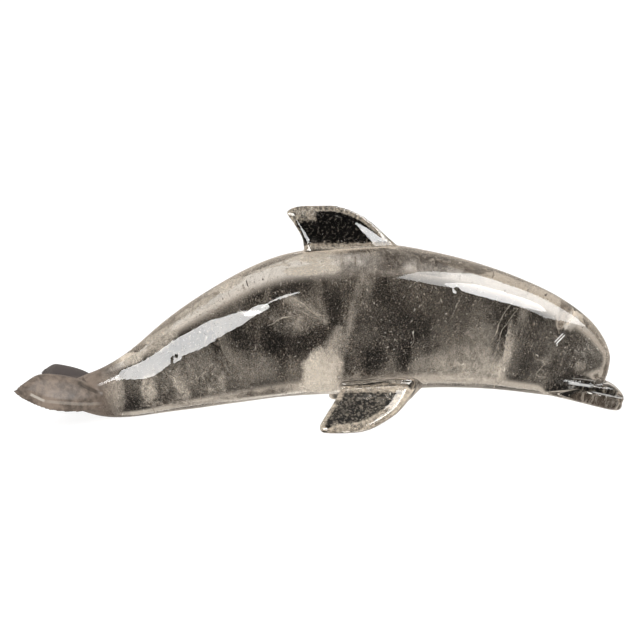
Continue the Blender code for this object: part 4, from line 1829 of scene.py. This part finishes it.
@dataclass(frozen=True)
class Studio:
    """A pale floor under soft light, and surroundings that only the stone bends to.

    Behind the carving hangs a round dark card. Around it all is lit a warm grey. The
    polish mirrors a dark room with a pale ceiling. An edge is where one tone gives way to
    the next, over the share of a direction along one axis: rise is +Z, away is +Y, near
    is -Y and ahead is +X.
    """

    pale: Colour = (0.25, 0.25, 0.25, 1.0)
    glow: float = 0.85
    daylight: float = 1.12
    card: Colour = (0.010, 0.0095, 0.009, 1.0)
    room: Colour = (0.05, 0.048, 0.045, 1.0)
    ceiling: Colour = (0.50, 0.48, 0.45, 1.0)
    backdrop: Colour = (0.72, 0.66, 0.58, 1.0)
    upper: Colour = (0.80, 0.72, 0.62, 1.0)
    lower: Colour = (0.84, 0.74, 0.63, 1.0)
    table: Colour = (1.05, 1.00, 0.93, 1.0)
    overhead: Colour = (2.30, 2.20, 2.04, 1.0)
    front: Colour = (1.40, 1.25, 1.05, 1.0)
    card_slope: float = -0.14
    card_edge: Span = (0.70, 0.86)
    table_edge: Span = (-0.75, -0.45)
    overhead_edge: Span = (0.78, 0.92)
    horizon_edge: Span = (-0.3, 0.5)
    front_edge: Span = (0.2, 0.6)
    dark_edge: Span = (0.1, 0.35)
    dark_foot: Span = (-0.10, 0.02)
    dark_top: Span = (0.75, 0.92)
    straight_edge: Span = (0.12, 0.35)
    straight_foot: Span = (-0.36, -0.28)
    straight_share: float = 0.6
    tail_edge: Span = (-0.9, 0.6)
    tail_light: float = 0.62
    ceiling_edge: Span = (0.80, 0.97)
    backdrop_edge: Span = (0.15, 0.65)
    floor_radius: float = 40.0
    floor_sides: int = 96

    def floor(self) -> None:
        """A wide table top lit from within, seen by the eye and by diffuse light alone."""
        angle = np.linspace(0.0, 2 * math.pi, self.floor_sides, endpoint=False)
        rim = np.stack((np.cos(angle), np.sin(angle), 0 * angle), axis=-1) * self.floor_radius
        mesh = bpy.data.meshes.new("floor")
        mesh.from_pydata(rim.tolist(), [], [list(range(self.floor_sides))])
        piece = link("floor", mesh)
        made = bpy.data.materials.new("pale_floor")
        graph = Graph(made)
        surface = graph.principled(
            {
                "Base Color": self.pale,
                "Roughness": 1.0,
                "Specular IOR Level": 0.0,
                "Emission Color": (1.0, 1.0, 1.0, 1.0),
                "Emission Strength": self.glow,
            }
        )
        graph.to_output(Surface=surface)
        mesh.materials.append(made)
        piece.visible_transmission = piece.visible_glossy = False
        piece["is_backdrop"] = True

    def bent_to(self, graph: Graph, ahead: Wire, away: Wire, rise: Wire) -> Wire:
        """What the stone bends to.

        The dark card hangs over directions whose share along its axis is above the edge.
        Round it are warm greys that grow towards the beak, dark straight to the front.

        Args:
            graph: the world's nodes.
            ahead: the direction's share along +X.
            away: its share along +Y.
            rise: its share along +Z.

        Returns:
            The colour.
        """
        near = -1.0 * away
        above = rise.math("MAXIMUM", rise, 0.0)
        off_card = graph.ease(away + self.card_slope * above, *self.card_edge, 1.0, 0.0)
        low = graph.mix(graph.ease(rise, *self.table_edge), self.table, self.lower)
        high = graph.mix(graph.ease(rise, *self.overhead_edge), self.upper, self.overhead)
        warm = graph.mix(graph.ease(rise, *self.horizon_edge), low, high)
        warm = graph.mix(graph.ease(near, *self.front_edge), warm, self.front)
        in_front = graph.ease(near, *self.dark_edge)
        dark = in_front * graph.ease(rise, *self.dark_foot) * graph.ease(rise, *self.dark_top, 1.0, 0.0)
        warm = graph.mix(dark, warm, self.card)
        straight = graph.ease(ahead.absolute(), *self.straight_edge, self.straight_share, 0.0)
        straight = straight * graph.ease(rise, *self.straight_foot)
        warm = graph.mix(straight * in_front, warm, self.card)
        light = graph.ease(ahead, *self.tail_edge, self.tail_light, 1.0)
        return graph.mix(off_card, self.card, graph.mix(light, (0.0, 0.0, 0.0, 1.0), warm))

    def surroundings(self) -> None:
        """White for the eye and for diffuse light, other surroundings for the stone.

        What its polish mirrors is the room, with its ceiling overhead and the pale
        backdrop behind.
        """
        world = bpy.data.worlds.new("studio")
        bpy.context.scene.world = world
        graph = Graph(world)
        direction = graph.output_of(graph.node("ShaderNodeTexCoord"), "Generated")
        ahead, away, rise = (graph.axis(direction, name) for name in "XYZ")
        mirrored = graph.mix(graph.ease(rise, *self.ceiling_edge), self.room, self.ceiling)
        mirrored = graph.mix(graph.ease(away, *self.backdrop_edge), mirrored, self.backdrop)
        path = graph.node("ShaderNodeLightPath")
        bent = graph.output_of(path, "Is Transmission Ray")
        around = graph.mix(bent, mirrored, self.bent_to(graph, ahead, away, rise))
        eye, diffuse = graph.output_of(path, "Is Camera Ray"), graph.output_of(path, "Diffuse Depth")
        seen = eye.math("MINIMUM", eye + diffuse, 1.0)
        white = (self.daylight, self.daylight, self.daylight, 1.0)
        light = {"Color": graph.mix(seen, around, white), "Strength": 1.0}
        graph.to_output(Surface=graph.node("ShaderNodeBackground", inputs=light))
        world.cycles.sampling_method = "NONE"

    def build(self, aim: Vector) -> None:
        """Set up floor, surroundings, camera and panels.

        Args:
            aim: the middle of the carving.
        """
        self.floor()
        self.surroundings()
        Camera().stand()
        boxes = (
            Softbox("panel_at_tail", -51.9, 3.0, -19.9, 0.454, 0.831, 12.0),
            Softbox("panel_at_tail_wing", -36.0, 22.0, -22.6, 0.260, 0.210, 11.0, outline=Outline.ELLIPSE),
            Softbox("panel_at_tail_tip", -28.6, 31.6, -35.4, 0.050, 0.340, 9.0, outline=Outline.ELLIPSE),
            Softbox("panel_over_head", 67.5, 49.5, 6.5, 0.892, 0.686, 6.3),
            Softbox("panel_over_head_wing", 48.5, 45.0, 32.2, 0.420, 0.360, 6.6, outline=Outline.ELLIPSE),
            Softbox("fill_front", -20.0, 40.0, 0.0, 1.2, 1.2, 0.7, in_polish=False),
        )
        for box in boxes:
            box.hang(aim)
        scene = bpy.context.scene
        scene.view_settings.view_transform = "Standard"
        scene.cycles.max_bounces = 24
        scene.cycles.transmission_bounces = 20
        scene.cycles.transparent_max_bounces = 48


def main() -> None:
    """Build the carving and its studio."""
    logging.basicConfig(level=logging.INFO, format="%(message)s")
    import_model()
    low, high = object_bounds()
    share = (high.x - low.x) / 100
    carving = Skin(share)
    skin = carving.make(low, high)
    skin.data.materials.append(CrystalFinish(share).material())
    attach(skin, BODY)
    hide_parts(NODE)
    Stone(share, carving.body).build(carving.fins())
    Studio().build((low + high) / 2)
    low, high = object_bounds()


if __name__ == "__main__":
    main()
